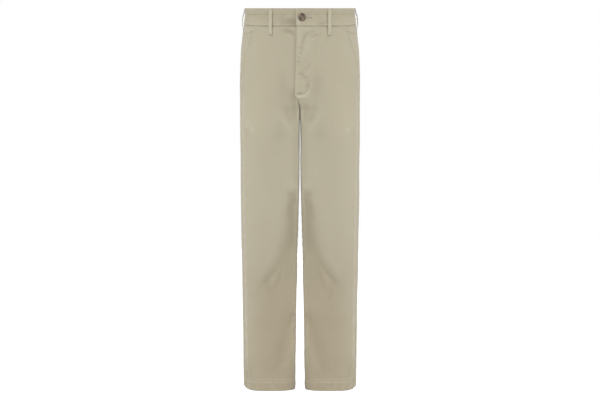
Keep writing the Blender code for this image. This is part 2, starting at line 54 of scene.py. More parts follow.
BAND_WALL = 0.0024
FLY_LAP, FLY_LAP_TOP = 0.0131, 0.0090
FLY_FOOT_Z = -0.231
LAP_RISE = 0.0017
BAND_LAP = 0.0100
BAND_UNDER = 0.028
BAND_LAP_RISE = 0.0008
POCKET_TOP_IN = 0.091
POCKET_CURVE = 1.05
POCKET_FOOT_Z = -0.190
LOOP_WIDTH = 0.0098
LOOP_SKIN = 0.0012      # a loop's flattened folds
LOOP_BELOW = 0.0266
LOOP_BOW, LOOP_SIDE_BOW = 0.0080, 0.0064
LOOP_FRONT_X = 0.0770
BUTTON_R, BUTTON_T = 0.0103, 0.0036
BUTTON_X, BUTTON_Z = 0.0052, -0.0276
BUTTON_TURN = math.radians(8)
SQUARE = (2.5, 2.25)            # front, back
SQUARE_LEG = 2.3
SQUARE_IN = 5.5                 # inner half of a leg's front, flatter
ROUNDER_FROM = -0.870           # and round again at the hem
TOP_Z = -0.031                  # nominal height of the panels' top row

OUTLINE = {
    "z":    ( 0.030,  0.014, -0.031, -0.050, -0.073, -0.100, -0.127, -0.181, -0.230, -0.290, -0.343, -0.397, -0.451, -0.505, -0.559, -0.613, -0.667, -0.721, -0.775, -0.829, -0.883, -0.937, -0.980, -1.011),
    "side": (0.1456, 0.1470, 0.1508, 0.1529, 0.1559, 0.1588, 0.1605, 0.1620, 0.1614, 0.1615, 0.1612, 0.1606, 0.1601, 0.1597, 0.1589, 0.1578, 0.1572, 0.1560, 0.1549, 0.1546, 0.1538, 0.1530, 0.1520, 0.1498),
    "widest": (0.0100, 0.0100, 0.0110, 0.0120, 0.0130, 0.0140, 0.0150, 0.0165, 0.0165, 0.0155, 0.0140, 0.0130, 0.0115, 0.0105, 0.0095, 0.0095, 0.0105, 0.0120, 0.0130, 0.0130, 0.0110, 0.0060, 0.0010, -0.0010),
}
SEAMS = {
    "z":      (-0.031, -0.100, -0.181, -0.300, -0.451, -0.560, -0.700, -0.829, -0.937, -1.011),
    "side":   (0.0280, 0.0320, 0.0360, 0.0385, 0.0380, 0.0365, 0.0345, 0.0330, 0.0310, 0.0300),
    "inseam": (0.0000, 0.0000, 0.0000, 0.0000, 0.0000, 0.0010, 0.0090, 0.0150, 0.0160, 0.0160),
}
BODY = {
    "z":     ( 0.030,  0.014, -0.031, -0.050, -0.073, -0.100, -0.127, -0.155, -0.181, -0.205, -0.230, -0.260, -0.290, -0.340),
    "front": (0.0970, 0.0985, 0.1020, 0.1040, 0.1060, 0.1080, 0.1100, 0.1115, 0.1125, 0.1128, 0.1125, 0.1110, 0.1085, 0.1035),
    "back":  (0.1025, 0.1040, 0.1065, 0.1090, 0.1130, 0.1175, 0.1218, 0.1248, 0.1262, 0.1262, 0.1245, 0.1195, 0.1130, 0.1030),
}
LEG = {
    "z":     (-0.140, -0.181, -0.230, -0.268, -0.300, -0.343, -0.397, -0.451, -0.505, -0.559, -0.613, -0.667, -0.721, -0.775, -0.829, -0.883, -0.937, -0.980, -1.011),
    "inner": (0.0002, 0.0002, 0.0002, 0.0003, 0.0016, 0.0020, 0.0021, 0.0026, 0.0038, 0.0051, 0.0066, 0.0077, 0.0086, 0.0096, 0.0107, 0.0112, 0.0118, 0.0127, 0.0136),
    "line": (-0.0700, -0.0720, -0.0740, -0.0740, -0.0730, -0.0700, -0.0660, -0.0610, -0.0560, -0.0510, -0.0470, -0.0440, -0.0410, -0.0380, -0.0345, -0.0295, -0.0210, -0.0120, -0.0060),
    "front": (0.1260, 0.1290, 0.1280, 0.1250, 0.1215, 0.1160, 0.1085, 0.1010, 0.0945, 0.0895, 0.0855, 0.0815, 0.0765, 0.0720, 0.0675, 0.0630, 0.0565, 0.0517, 0.0510),
    "back":  (0.1110, 0.1125, 0.1085, 0.1010, 0.0935, 0.0845, 0.0760, 0.0690, 0.0630, 0.0580, 0.0550, 0.0545, 0.0550, 0.0540, 0.0525, 0.0515, 0.0540, 0.0573, 0.0580),
}
FRONT_SEAM = {
    "z":   (-0.231, -0.239, -0.2466, -0.2530, -0.2595, -0.2650, -0.268),
    "off": (0.0113, 0.0108, 0.0094, 0.0066, 0.0038, 0.0012, 0.0000),
}
FRONT, BACK = 0, 1
NAMES = ("front", "back")


# ========================================================= surface, sampled
def smooth(x):
    x = np.clip(x, 0.0, 1.0)
    return x * x * (3.0 - 2.0 * x)


def read(table, column, z):
    """A table's column at heights z, on a curve that never overshoots."""
    zs, vs = np.array(table["z"], float), np.array(table[column], float)
    rate = np.diff(vs) / np.diff(zs)
    slope = np.concatenate(((rate[0],), np.where(rate[:-1] * rate[1:] <= 0, 0.0, 2 * rate[:-1] * rate[1:] / np.where(rate[:-1] + rate[1:] == 0, 1, rate[:-1] + rate[1:])), (rate[-1],)))
    z = np.clip(np.asarray(z, float), zs[-1], zs[0])
    i = np.clip(np.searchsorted(-zs, -z, side="left") - 1, 0, len(zs) - 2)
    h = zs[i + 1] - zs[i]
    t = (z - zs[i]) / h
    return (vs[i] * (1 + 2 * t) * (1 - t) ** 2 + vs[i + 1] * t * t * (3 - 2 * t)
            + h * slope[i] * t * (1 - t) ** 2 - h * slope[i + 1] * t * t * (1 - t))


def ring(face, z):
    way = -1.0 if face == FRONT else 1.0
    name = NAMES[face]
    side, widest, inner = (float(v) for v in (read(OUTLINE, "side", z), read(OUTLINE, "widest", z), read(LEG, "inner", z)))
    mid, half = (side + inner) / 2, (side - inner) / 2
    down = min(max((CROTCH_Z + RISE_CURVE[face] - z) / RISE_CURVE[face], 0.0), 1.0)
    at_middle = down ** SEAM_CURVE[face]
    across = float(smooth((LEG_BLEND_TOP - z) / (LEG_BLEND_TOP - LEG_BLEND_END)))
    u = np.linspace(0.0, 1.0, 513)
    turn = np.cos(u * math.pi)
    bent = np.sign(turn) * np.abs(turn) ** (2.0 / SQUARE_LEG)
    x = mid + half * bent
    if at_middle < 1.0:
        x = x - inner * (1.0 - at_middle) * u ** 6
    square = SQUARE[face]
    body = (float(read(BODY, name, z)) - way * widest) * np.clip(1.0 - (x / side) ** square, 0.0, 1.0) ** (1.0 / square)
    flatter = (SQUARE_IN - SQUARE_LEG) * float(smooth((z - HEM_Z + 0.040) / (ROUNDER_FROM - HEM_Z + 0.040)))
    power = np.where(bent < 0, SQUARE_LEG + (flatter if face == FRONT else 0.0), SQUARE_LEG)
    base = widest + (float(read(LEG, "line", z)) - widest) * (1.0 - bent) / 2
    full = widest + way * float(read(LEG, name, z))
    leg = base + (full - base) * np.clip(1.0 - np.abs(bent) ** power, 0.0, 1.0) ** (1.0 / power)
    near = np.clip((0.062 - x) / 0.044, 0.0, 1.0)
    t = across + (at_middle - across) * near * near * (3.0 - 2.0 * near)
    return x, (1.0 - t) * (widest + way * body) + t * leg


LEVEL_TOP, LEVEL_STEP = 0.0345, 0.0015
LEVELS = 704
SHARES = 641


def sample_levels():
    """Both half rings at every level, at equal shares of their cloth length."""
    xs = np.zeros((2, LEVELS, SHARES))
    ys = np.zeros((2, LEVELS, SHARES))
    width = np.zeros((2, LEVELS))
    share = np.linspace(0.0, 1.0, SHARES)
    for k in range(LEVELS):
        z = LEVEL_TOP - k * LEVEL_STEP
        for face in (FRONT, BACK):
            x, y = ring(face, z)
            along = np.concatenate(((0.0,), np.cumsum(np.hypot(np.diff(x), np.diff(y)))))
            width[face, k] = along[-1]
            xs[face, k] = np.interp(share * along[-1], along, x)
            ys[face, k] = np.interp(share * along[-1], along, y)
    return xs, ys, width


RING_X, RING_Y, RING_W = sample_levels()


def cubic(t):
    """Four weights of a smooth curve through evenly spaced values."""
    return (-0.5 * t + t * t - 0.5 * t ** 3, 1 - 2.5 * t * t + 1.5 * t ** 3,
            0.5 * t + 2 * t * t - 1.5 * t ** 3, -0.5 * t * t + 0.5 * t ** 3)


def level_of(z):
    k = np.clip((LEVEL_TOP - z) / LEVEL_STEP, 1.0, LEVELS - 2.001)
    i = np.floor(k).astype(int)
    return i, cubic(k - i)


def cloth_width(face, z):
    face, z = np.broadcast_arrays(np.asarray(face), np.asarray(z, float))
    i, w = level_of(z)
    return sum(w[m] * RING_W[face, i - 1 + m] for m in range(4))


def look_up(face, share, z):
    i, w = level_of(z)
    q = np.clip(share, 0.0, 1.0) * (SHARES - 1)
    j = np.clip(np.floor(q).astype(int), 1, SHARES - 3)
    v = cubic(q - j)
    x = y = 0.0
    for m in range(4):
        for n in range(4):
            g = w[m] * v[n]
            x = x + g * RING_X[face, i - 1 + m, j - 1 + n]
            y = y + g * RING_Y[face, i - 1 + m, j - 1 + n]
    return x, y


def surface(face, s, z):
    """Points at cloth length s from the widest line, wearer's left, and the
    face each lies on. Less than nothing is on the other face; more than the
    half ring is over the middle, or round the inner line of the same leg."""
    face, s, z = (np.array(a) for a in np.broadcast_arrays(np.asarray(face), np.asarray(s, float), np.asarray(z, float)))
    back = s < 0
    face = np.where(back, 1 - face, face)
    s = np.abs(s)
    total = cloth_width(face, z)
    over = s > total
    wrap, flip = over & (z < CROTCH_Z), over & (z >= CROTCH_Z)
    s = np.where(wrap, cloth_width(1 - face, z) - (s - total), np.where(flip, 2 * total - s, s))
    face = np.where(wrap, 1 - face, face)
    x, y = look_up(face, s / cloth_width(face, z), z)
    return np.stack((np.where(flip, -x, x), y, z), -1), face


def normal(face, s, z):
    share = s / cloth_width(face, z)
    ds, dz = 0.0010, 0.0016
    a, b = surface(face, s - ds, z)[0], surface(face, s + ds, z)[0]
    top = surface(face, share * cloth_width(face, z + dz), z + dz)[0]
    low = surface(face, share * cloth_width(face, z - dz), z - dz)[0]
    n = np.cross(b - a, top - low)
    n /= np.maximum(np.linalg.norm(n, axis=-1, keepdims=True), 1e-12)
    return np.where(np.asarray(face)[..., None] == FRONT, -n, n) if np.ndim(face) else (-n if face == FRONT else n)


def band_edge(face, s, side_z, front_tilt):
    """Height of a waistband edge at nominal cloth length s."""
    s = np.asarray(s, float)
    on = np.where(s < 0, 1 - face, face)
    tilt = np.where(on == FRONT, front_tilt, BACK_TILT)
    share = np.abs(s) / cloth_width(on, TOP_Z)
    share = np.minimum(share, 2 - share)
    z = np.full(np.shape(s), TOP_Z)
    for _ in range(3):
        p, _f = surface(on, share * cloth_width(on, z), z)
        z = side_z + tilt * (p[..., 1] - read(OUTLINE, "widest", z))
    return z


def seam_height(face, s):
    return band_edge(face, s, SEAM_SIDE_Z, SEAM_TILT)


def top_height(face, s):
    return band_edge(face, s, TOP_SIDE_Z, TOP_TILT)


def follow_waist(face, s, z):
    """Real height and cloth length of a panel point: the upper rows follow
    the waistband seam and level out by the hip."""
    follow = smooth((z + 0.172) / (0.172 + TOP_Z))
    real = z + follow * (seam_height(face, s) - GAP / 2 - TOP_Z)
    return s * cloth_width(face, real) / cloth_width(face, z), real


# ================================================================ mesh tools
def make_mesh(name, verts, faces, uvs=None, smooth_shade=True, sharp=None, attributes=None):
    """A mesh object from arrays: verts (N, 3), faces (M, 4) with -1 in the
    last place of a triangle."""
    mesh = bpy.data.meshes.new(name)
    faces = np.asarray(faces)
    count = np.where(faces[:, 3] < 0, 3, 4)
    loops = faces.reshape(-1)[(faces.reshape(-1) >= 0)]
    mesh.vertices.add(len(verts))
    mesh.vertices.foreach_set("co", np.asarray(verts, np.float32).ravel())
    mesh.loops.add(len(loops))
    mesh.loops.foreach_set("vertex_index", loops.astype(np.int32))
    mesh.polygons.add(len(faces))
    starts = np.concatenate(((0,), np.cumsum(count)[:-1])).astype(np.int32)
    mesh.polygons.foreach_set("loop_start", starts)
    mesh.update(calc_edges=True)
    mesh.polygons.foreach_set("use_smooth", np.full(len(faces), smooth_shade))
    if uvs is not None:
        layer = mesh.uv_layers.new(name="cloth")
        layer.data.foreach_set("uv", np.asarray(uvs, np.float32)[loops].ravel())
    for key, values in (attributes or {}).items():
        mesh.attributes.new(key, "FLOAT", "POINT").data.foreach_set("value", np.asarray(values, np.float32))
    mesh.validate()
    if sharp:
        mesh.set_sharp_from_angle(angle=math.radians(sharp))
    obj = bpy.data.objects.new(name, mesh)
    bpy.context.scene.collection.objects.link(obj)
    return obj


def grid_faces(rows, cols, base=0, flip=False):
    i, j = np.meshgrid(np.arange(rows - 1), np.arange(cols - 1), indexing="ij")
    a = base + i * cols + j
    quads = np.stack((a, a + cols, a + cols + 1, a + 1), -1).reshape(-1, 4)
    return quads[:, ::-1] if flip else quads


def grid_normals(p):
    """Unit normals of a grid of points, by differences along it."""
    du, dv = np.gradient(p, axis=1), np.gradient(p, axis=0)
    n = np.cross(dv, du)
    n /= np.maximum(np.linalg.norm(n, axis=-1, keepdims=True), 1e-12)
    return n


def sheet_mesh(name, outer, out_hint, thickness, uv, attributes=None, flip_x=False, sharp=55):
    """Closed thin cloth: a grid of outer points and the same grid moved in
    by the thickness, joined round the rim."""
    rows, cols = outer.shape[:2]
    n = grid_normals(outer)
    r, c = rows // 2, cols // 2
    turn = float((n[r, c] * out_hint[r, c]).sum()) < 0
    if turn:
        n = -n
    inner = outer - n * (thickness[..., None] if np.ndim(thickness) else thickness)
    verts = np.concatenate((outer.reshape(-1, 3), inner.reshape(-1, 3)))
    base = rows * cols
    edge = np.concatenate((np.arange(cols), cols - 1 + cols * np.arange(1, rows),
                           (rows - 1) * cols + np.arange(cols - 2, -1, -1), cols * np.arange(rows - 2, 0, -1)))
    following = np.roll(edge, -1)
    rim = np.stack((edge, following, following + base, edge + base), -1)
    swap = turn != flip_x
    faces = np.concatenate((grid_faces(rows, cols, 0, swap), grid_faces(rows, cols, base, not swap), rim[:, ::-1] if swap else rim))
    if flip_x:
        verts = verts * np.array((-1.0, 1.0, 1.0))
        uv = uv * np.array((-1.0, 1.0))
    uvs = np.concatenate((uv.reshape(-1, 2), uv.reshape(-1, 2)))
    both = {k: np.concatenate((v.ravel(), v.ravel())) for k, v in (attributes or {}).items()}
    return make_mesh(name, verts, faces, uvs, True, sharp, both)


# ================================================================== creases
# Soft ridges (+) and troughs (-), each along a line on the front or the back,
# in metres. side: both legs alike, or the wearer's left or right only.
FOLDS = []
CREASE = 1.45


def fold(face, side, half, rise, *line):
    FOLDS.append((face, side, half, rise, np.array(line, float)))


def crease_front():
    f = FRONT
    # From the crotch: a V of ridges with hollows inside and below it.
    fold(f, "both", 0.0065, +0.0013, (0.060, -0.276), (0.044, -0.300), (0.020, -0.338))
    fold(f, "both", 0.0080, -0.0020, (0.040, -0.254), (0.032, -0.286), (0.022, -0.308))
    fold(f, "right", 0.0026, -0.0010, (0.0380, -0.0600), (0.0270, -0.0620), (0.0190, -0.0660), (0.0125, -0.0735))
    fold(f, "both", 0.0140, -0.0009, (0.064, -0.300), (0.055, -0.330), (0.052, -0.360))
    fold(f, "both", 0.0060, -0.0006, (0.016, -0.258), (0.030, -0.280))
    fold(f, "both", 0.0120, -0.0012, (0.050, -0.170), (0.044, -0.205), (0.040, -0.240))
    fold(f, "both", 0.0110, +0.0009, (0.150, -0.300), (0.128, -0.322), (0.106, -0.345))
    fold(f, "both", 0.0090, -0.0008, (0.146, -0.318), (0.126, -0.338))
    # Inner thigh: a short ridge over a notch, where the dark wedge begins.
    fold(f, "both", 0.0075, +0.0009, (0.000, -0.466), (0.020, -0.463), (0.034, -0.456))
    fold(f, "both", 0.0090, -0.0008, (0.000, -0.492), (0.018, -0.490), (0.034, -0.484))
    fold(f, "both", 0.0200, -0.0034, (0.012, -0.500), (0.016, -0.545), (0.021, -0.600), (0.030, -0.660))
    fold(f, "both", 0.0070, -0.0012, (0.010, -0.500), (0.012, -0.520))
    # Knee: two slanting hollows that part from the wedge.
    fold(f, "both", 0.0120, -0.0010, (0.040, -0.626), (0.050, -0.660), (0.060, -0.686))
    fold(f, "both", 0.0090, -0.0014, (0.050, -0.668), (0.064, -0.692), (0.080, -0.707), (0.100, -0.738))
    fold(f, "both", 0.0055, +0.0005, (0.048, -0.672), (0.061, -0.702), (0.076, -0.740))
    fold(f, "both", 0.0058, -0.0009, (0.045, -0.684), (0.054, -0.712), (0.066, -0.744))
    fold(f, "both", 0.0065, -0.0009, (0.082, -0.736), (0.078, -0.786))
    fold(f, "both", 0.0050, +0.0004, (0.036, -0.670), (0.046, -0.712))
    fold(f, "both", 0.0100, +0.0009, (0.062, -0.636), (0.086, -0.680), (0.112, -0.715))
    # Shin: one long soft hollow, deepest above the hem.
    fold(f, "both", 0.0160, -0.0013, (0.018, -0.795), (0.032, -0.850), (0.048, -0.910), (0.062, -0.955))
    fold(f, "both", 0.0075, -0.0008, (0.048, -0.926), (0.056, -0.944), (0.060, -0.962))
    fold(f, "both", 0.0070, -0.0014, (0.016, -0.800), (0.024, -0.838))
    fold(f, "both", 0.0100, +0.0006, (0.016, -0.870), (0.032, -0.930), (0.042, -0.965))
    fold(f, "both", 0.0160, +0.0005, (0.074, -0.850), (0.086, -0.930))
    # One side only.
    fold(f, "right", 0.0045, -0.0015, (0.044, -0.0600), (0.026, -0.0655), (0.009, -0.0750))
    fold(f, "right", 0.0050, +0.0008, (0.040, -0.0690), (0.020, -0.0780))
    fold(f, "left", 0.0042, -0.0013, (0.040, -0.0640), (0.030, -0.0665), (0.018, -0.0740))


def crease_back():
    b = BACK
    # Under the seat: drag lines that fan out from the crotch.
    fold(b, "both", 0.0090, -0.0030, (0.016, -0.268), (0.040, -0.288), (0.074, -0.306))
    fold(b, "both", 0.0070, +0.0022, (0.014, -0.290), (0.042, -0.312), (0.078, -0.326))
    fold(b, "both", 0.0080, -0.0024, (0.012, -0.312), (0.036, -0.336), (0.066, -0.352))
    fold(b, "left", 0.0070, +0.0016, (0.030, -0.252), (0.062, -0.262), (0.098, -0.262))
    fold(b, "right", 0.0080, -0.0018, (0.060, -0.322), (0.090, -0.332), (0.122, -0.326))
    fold(b, "both", 0.0110, -0.0016, (0.024, -0.190), (0.040, -0.220), (0.060, -0.246))
    fold(b, "left", 0.0090, +0.0010, (0.070, -0.120), (0.064, -0.170))
    # Behind the knee: crossing hollows and rolls.
    fold(b, "both", 0.0095, -0.0036, (0.018, -0.628), (0.062, -0.648), (0.108, -0.640))
    fold(b, "both", 0.0080, +0.0028, (0.022, -0.650), (0.066, -0.668), (0.120, -0.664))
    fold(b, "left", 0.0080, -0.0030, (0.030, -0.676), (0.072, -0.688), (0.118, -0.678))
    fold(b, "right", 0.0075, -0.0026, (0.036, -0.672), (0.078, -0.692), (0.124, -0.700))
    fold(b, "both", 0.0090, +0.0018, (0.024, -0.600), (0.056, -0.614), (0.088, -0.612))
    fold(b, "left", 0.0080, -0.0014, (0.040, -0.570), (0.070, -0.590))
    fold(b, "right", 0.0090, +0.0016, (0.050, -0.706), (0.084, -0.722))
    # Calf and hem.
    fold(b, "both", 0.0120, -0.0022, (0.100, -0.800), (0.084, -0.860), (0.074, -0.930))
    fold(b, "both", 0.0090, +0.0014, (0.050, -0.840), (0.052, -0.900), (0.060, -0.960))
    fold(b, "left", 0.0080, -0.0016, (0.030, -0.900), (0.044, -0.950))
    fold(b, "right", 0.0080, -0.0014, (0.118, -0.900), (0.112, -0.960))
    fold(b, "both", 0.0140, -0.0016, (0.050, -0.420), (0.056, -0.500), (0.062, -0.560))


crease_front()
crease_back()


def fold_rise(lies, x, z, side):
    """Sum of the creases at places x (from the middle) and z."""
    rise = np.zeros(np.shape(x))
    for face, which, half, height, line in FOLDS:
        if which not in ("both", side):
            continue
        lo, hi = line.min(0) - 2.6 * half, line.max(0) + 2.6 * half
        near = (lies == face) & (x > lo[0]) & (x < hi[0]) & (z > lo[1]) & (z < hi[1])
        if not near.any():
            continue
        px, pz = x[near], z[near]
        seg = np.diff(line, axis=0)
        length = np.hypot(seg[:, 0], seg[:, 1])
        upto = np.concatenate(((0.0,), np.cumsum(length)))
        best = np.full(px.shape, 1e9)
        along = np.zeros(px.shape)
        for k in range(len(seg)):
            t = ((px - line[k, 0]) * seg[k, 0] + (pz - line[k, 1]) * seg[k, 1]) / length[k] ** 2
            tc = np.clip(t, 0.0, 1.0)
            away = np.hypot(px - line[k, 0] - tc * seg[k, 0], pz - line[k, 1] - tc * seg[k, 1])
            closer = away < best
            best = np.where(closer, away, best)
            along = np.where(closer, (upto[k] + tc * length[k]) / upto[-1], along)
        end = smooth((along + 0.12) / 0.42) * smooth((1.12 - along) / 0.42)
        rise[near] += CREASE * height * np.exp(-((best / half) ** 2)) * end
    return rise


_waves = np.random.RandomState(11)
WAVES = [(_waves.uniform(-1, 1), _waves.uniform(-1, 1), _waves.uniform(0, 6.28)) for _ in range(28)]


def cloudy(a, b, size, first=0, count=7):
    """Slow uneven waves over a surface, about -1 to 1."""
    total = 0.0
    for p, q, phase in WAVES[first:first + count]:
        reach = 6.2832 / size
        total = total + np.sin(reach * (a * (0.45 + abs(p)) * np.sign(p) + b * (0.45 + abs(q)) * np.sign(q)) + phase)
    return total / math.sqrt(count) / 1.3


def pucker(along, pitch, seed=0.0):
    """Uneven little gathers along a sewn line, -1 to 1."""
    a = along / pitch * 6.2832
    return (np.sin(a + 1.7 * np.sin(a * 0.37 + seed) + seed) * 0.6 + np.sin(a * 0.61 + 2.1 * seed + 0.8 * np.sin(a * 0.23)) * 0.4)


# ================================================================ panel form
J_LINE = {      # fly stitching: distance past the middle at each height
    "z":   (-0.0400, -0.1200, -0.1660, -0.1976, -0.2100, -0.2197, -0.2270, -0.2315, -0.2345, -0.2362),
    "off": (0.0308, 0.0308, 0.0307, 0.0288, 0.0262, 0.0222, 0.0160, 0.0104, 0.0015, -0.0112),
}
SEAM_BEND = {   # below the fly the dip between the legs follows the seam's curve
    "z":   (-0.226, -0.234, -0.241, -0.248, -0.254, -0.260, -0.265, -0.269),
    "off": (0.0000, 0.0022, 0.0042, 0.0042, 0.0028, 0.0012, 0.0003, 0.0000),
}


def fly_relief(x, z):
    """Troughs, ridge and gathers on the fly flap, wearer's left of middle."""
    rise = np.zeros(np.shape(x))
    for half, height, line in (
        (0.0036, -0.0008, ((0.0300, -0.0620), (0.0125, -0.0750), (0.0090, -0.0870), (0.0045, -0.1030), (0.0020, -0.1180), (0.0000, -0.1300))),
        (0.0042, +0.0006, ((0.0225, -0.0720), (0.0185, -0.0860), (0.0215, -0.1000), (0.0190, -0.1150), (0.0110, -0.1290))),
        (0.0038, -0.0007, ((0.0290, -0.0800), (0.0380, -0.0745), (0.0540, -0.0700))),
        (0.0030, +0.0005, ((0.0300, -0.0880), (0.0420, -0.0840))),
        (0.0032, -0.0006, ((0.0315, -0.1434), (0.0220, -0.1560), (0.0120, -0.1696))),
        (0.0034, +0.0004, ((0.0320, -0.1540), (0.0240, -0.1660), (0.0170, -0.1760))),
        (0.0040, -0.0011, ((-0.0060, -0.1735), (0.0030, -0.1760), (0.0120, -0.1795))),
        (0.0030, -0.0007, ((0.0060, -0.1850), (0.0210, -0.1870))),
        (0.0032, +0.0006, ((0.0150, -0.1745), (0.0260, -0.1790))),
        (0.0032, -0.0010, ((0.0235, -0.2030), (0.0200, -0.2085), (0.0160, -0.2120))),
        (0.0034, +0.0006, ((0.0040, -0.1980), (0.0120, -0.2020))),
        (0.0026, -0.0007, ((-0.0080, -0.1075), (0.0010, -0.1090))),
        (0.0026, -0.0005, ((-0.0070, -0.1215), (0.0020, -0.1225))),
        (0.0022, +0.0006, ((-0.0070, -0.1285), (0.0010, -0.1290))),
        (0.0024, -0.0009, ((-0.0090, -0.1340), (-0.0010, -0.1350))),
        (0.0026, -0.0010, ((-0.0090, -0.1440), (0.0020, -0.1450))),
        (0.0024, -0.0007, ((-0.0090, -0.1530), (-0.0010, -0.1520))),
        (0.0026, +0.0006, ((0.0020, -0.1430), (0.0080, -0.1450))),
        (0.0026, -0.0011, ((-0.0085, -0.2285), (-0.0010, -0.2280), (0.0050, -0.2250))),
    ):
        line = np.array(line)
        seg = np.diff(line, axis=0)
        length = np.hypot(seg[:, 0], seg[:, 1])
        upto = np.concatenate(((0.0,), np.cumsum(length)))
        best, along = np.full(np.shape(x), 1e9), np.zeros(np.shape(x))
        for k in range(len(seg)):
            t = np.clip(((x - line[k, 0]) * seg[k, 0] + (z - line[k, 1]) * seg[k, 1]) / length[k] ** 2, 0, 1)
            away = np.hypot(x - line[k, 0] - t * seg[k, 0], z - line[k, 1] - t * seg[k, 1])
            closer = away < best
            best, along = np.where(closer, away, best), np.where(closer, (upto[k] + t * length[k]) / upto[-1], along)
        rise = rise + height * np.exp(-((best / half) ** 2)) * smooth((along + 0.1) / 0.4) * smooth((1.1 - along) / 0.4)
    return rise


def edges(panel, side, z):
    """Cloth lengths of a panel's side edge and middle edge at nominal z."""
    if panel == BACK:
        return GAP / 2 - read(SEAMS, "side", z), cloth_width(BACK, z) + read(SEAMS, "inseam", z) - GAP / 2
    total = cloth_width(FRONT, z)
    seam = read(SEAMS, "side", z)
    start = np.where(z > POCKET_FOOT_Z, mouth(z), seam + GAP / 2)
    lap = FLY_LAP_TOP + (FLY_LAP - FLY_LAP_TOP) * smooth((-0.05 - z) / 0.18)
    off = np.maximum(read(FRONT_SEAM, "off", z) - read(SEAM_BEND, "off", z), 0.0)
    if side == "left":
        above = total + np.where(z < FLY_FOOT_Z, off, lap) - GAP / 2
    else:
        above = total - np.where(z < FLY_FOOT_Z, off, 0.001) - GAP / 2
    return start, np.where(z <= CROTCH_Z, total - read(SEAMS, "inseam", z) - GAP / 2, above)


_top_at_mouth = float(seam_height(FRONT, POCKET_TOP_IN))


def mouth(z):
    """Cloth length to the pocket mouth at nominal height z of a row."""
    z = np.asarray(z, float)
    s = np.full(np.shape(z), POCKET_TOP_IN / 2)
    for _ in range(7):
        follow = smooth((z + 0.172) / (0.172 + TOP_Z))
        real = z + follow * (seam_height(FRONT, s) - GAP / 2 - TOP_Z)
        k = np.clip((real - POCKET_FOOT_Z) / (_top_at_mouth - POCKET_FOOT_Z), 0.0, 1.0)
        seam = read(SEAMS, "side", real)
        s = seam + np.maximum((POCKET_TOP_IN - seam) * k ** POCKET_CURVE, GAP / 2)
    return s


def tuck(d, reach=0.0011, depth=0.0013):
    """How a sewn edge turns in, d along the cloth from the seam."""
    t = np.clip(1.0 - d / reach, 0.0, 1.0)
    return -depth * (1.0 - np.sqrt(np.maximum(1.0 - t * t, 0.0)))


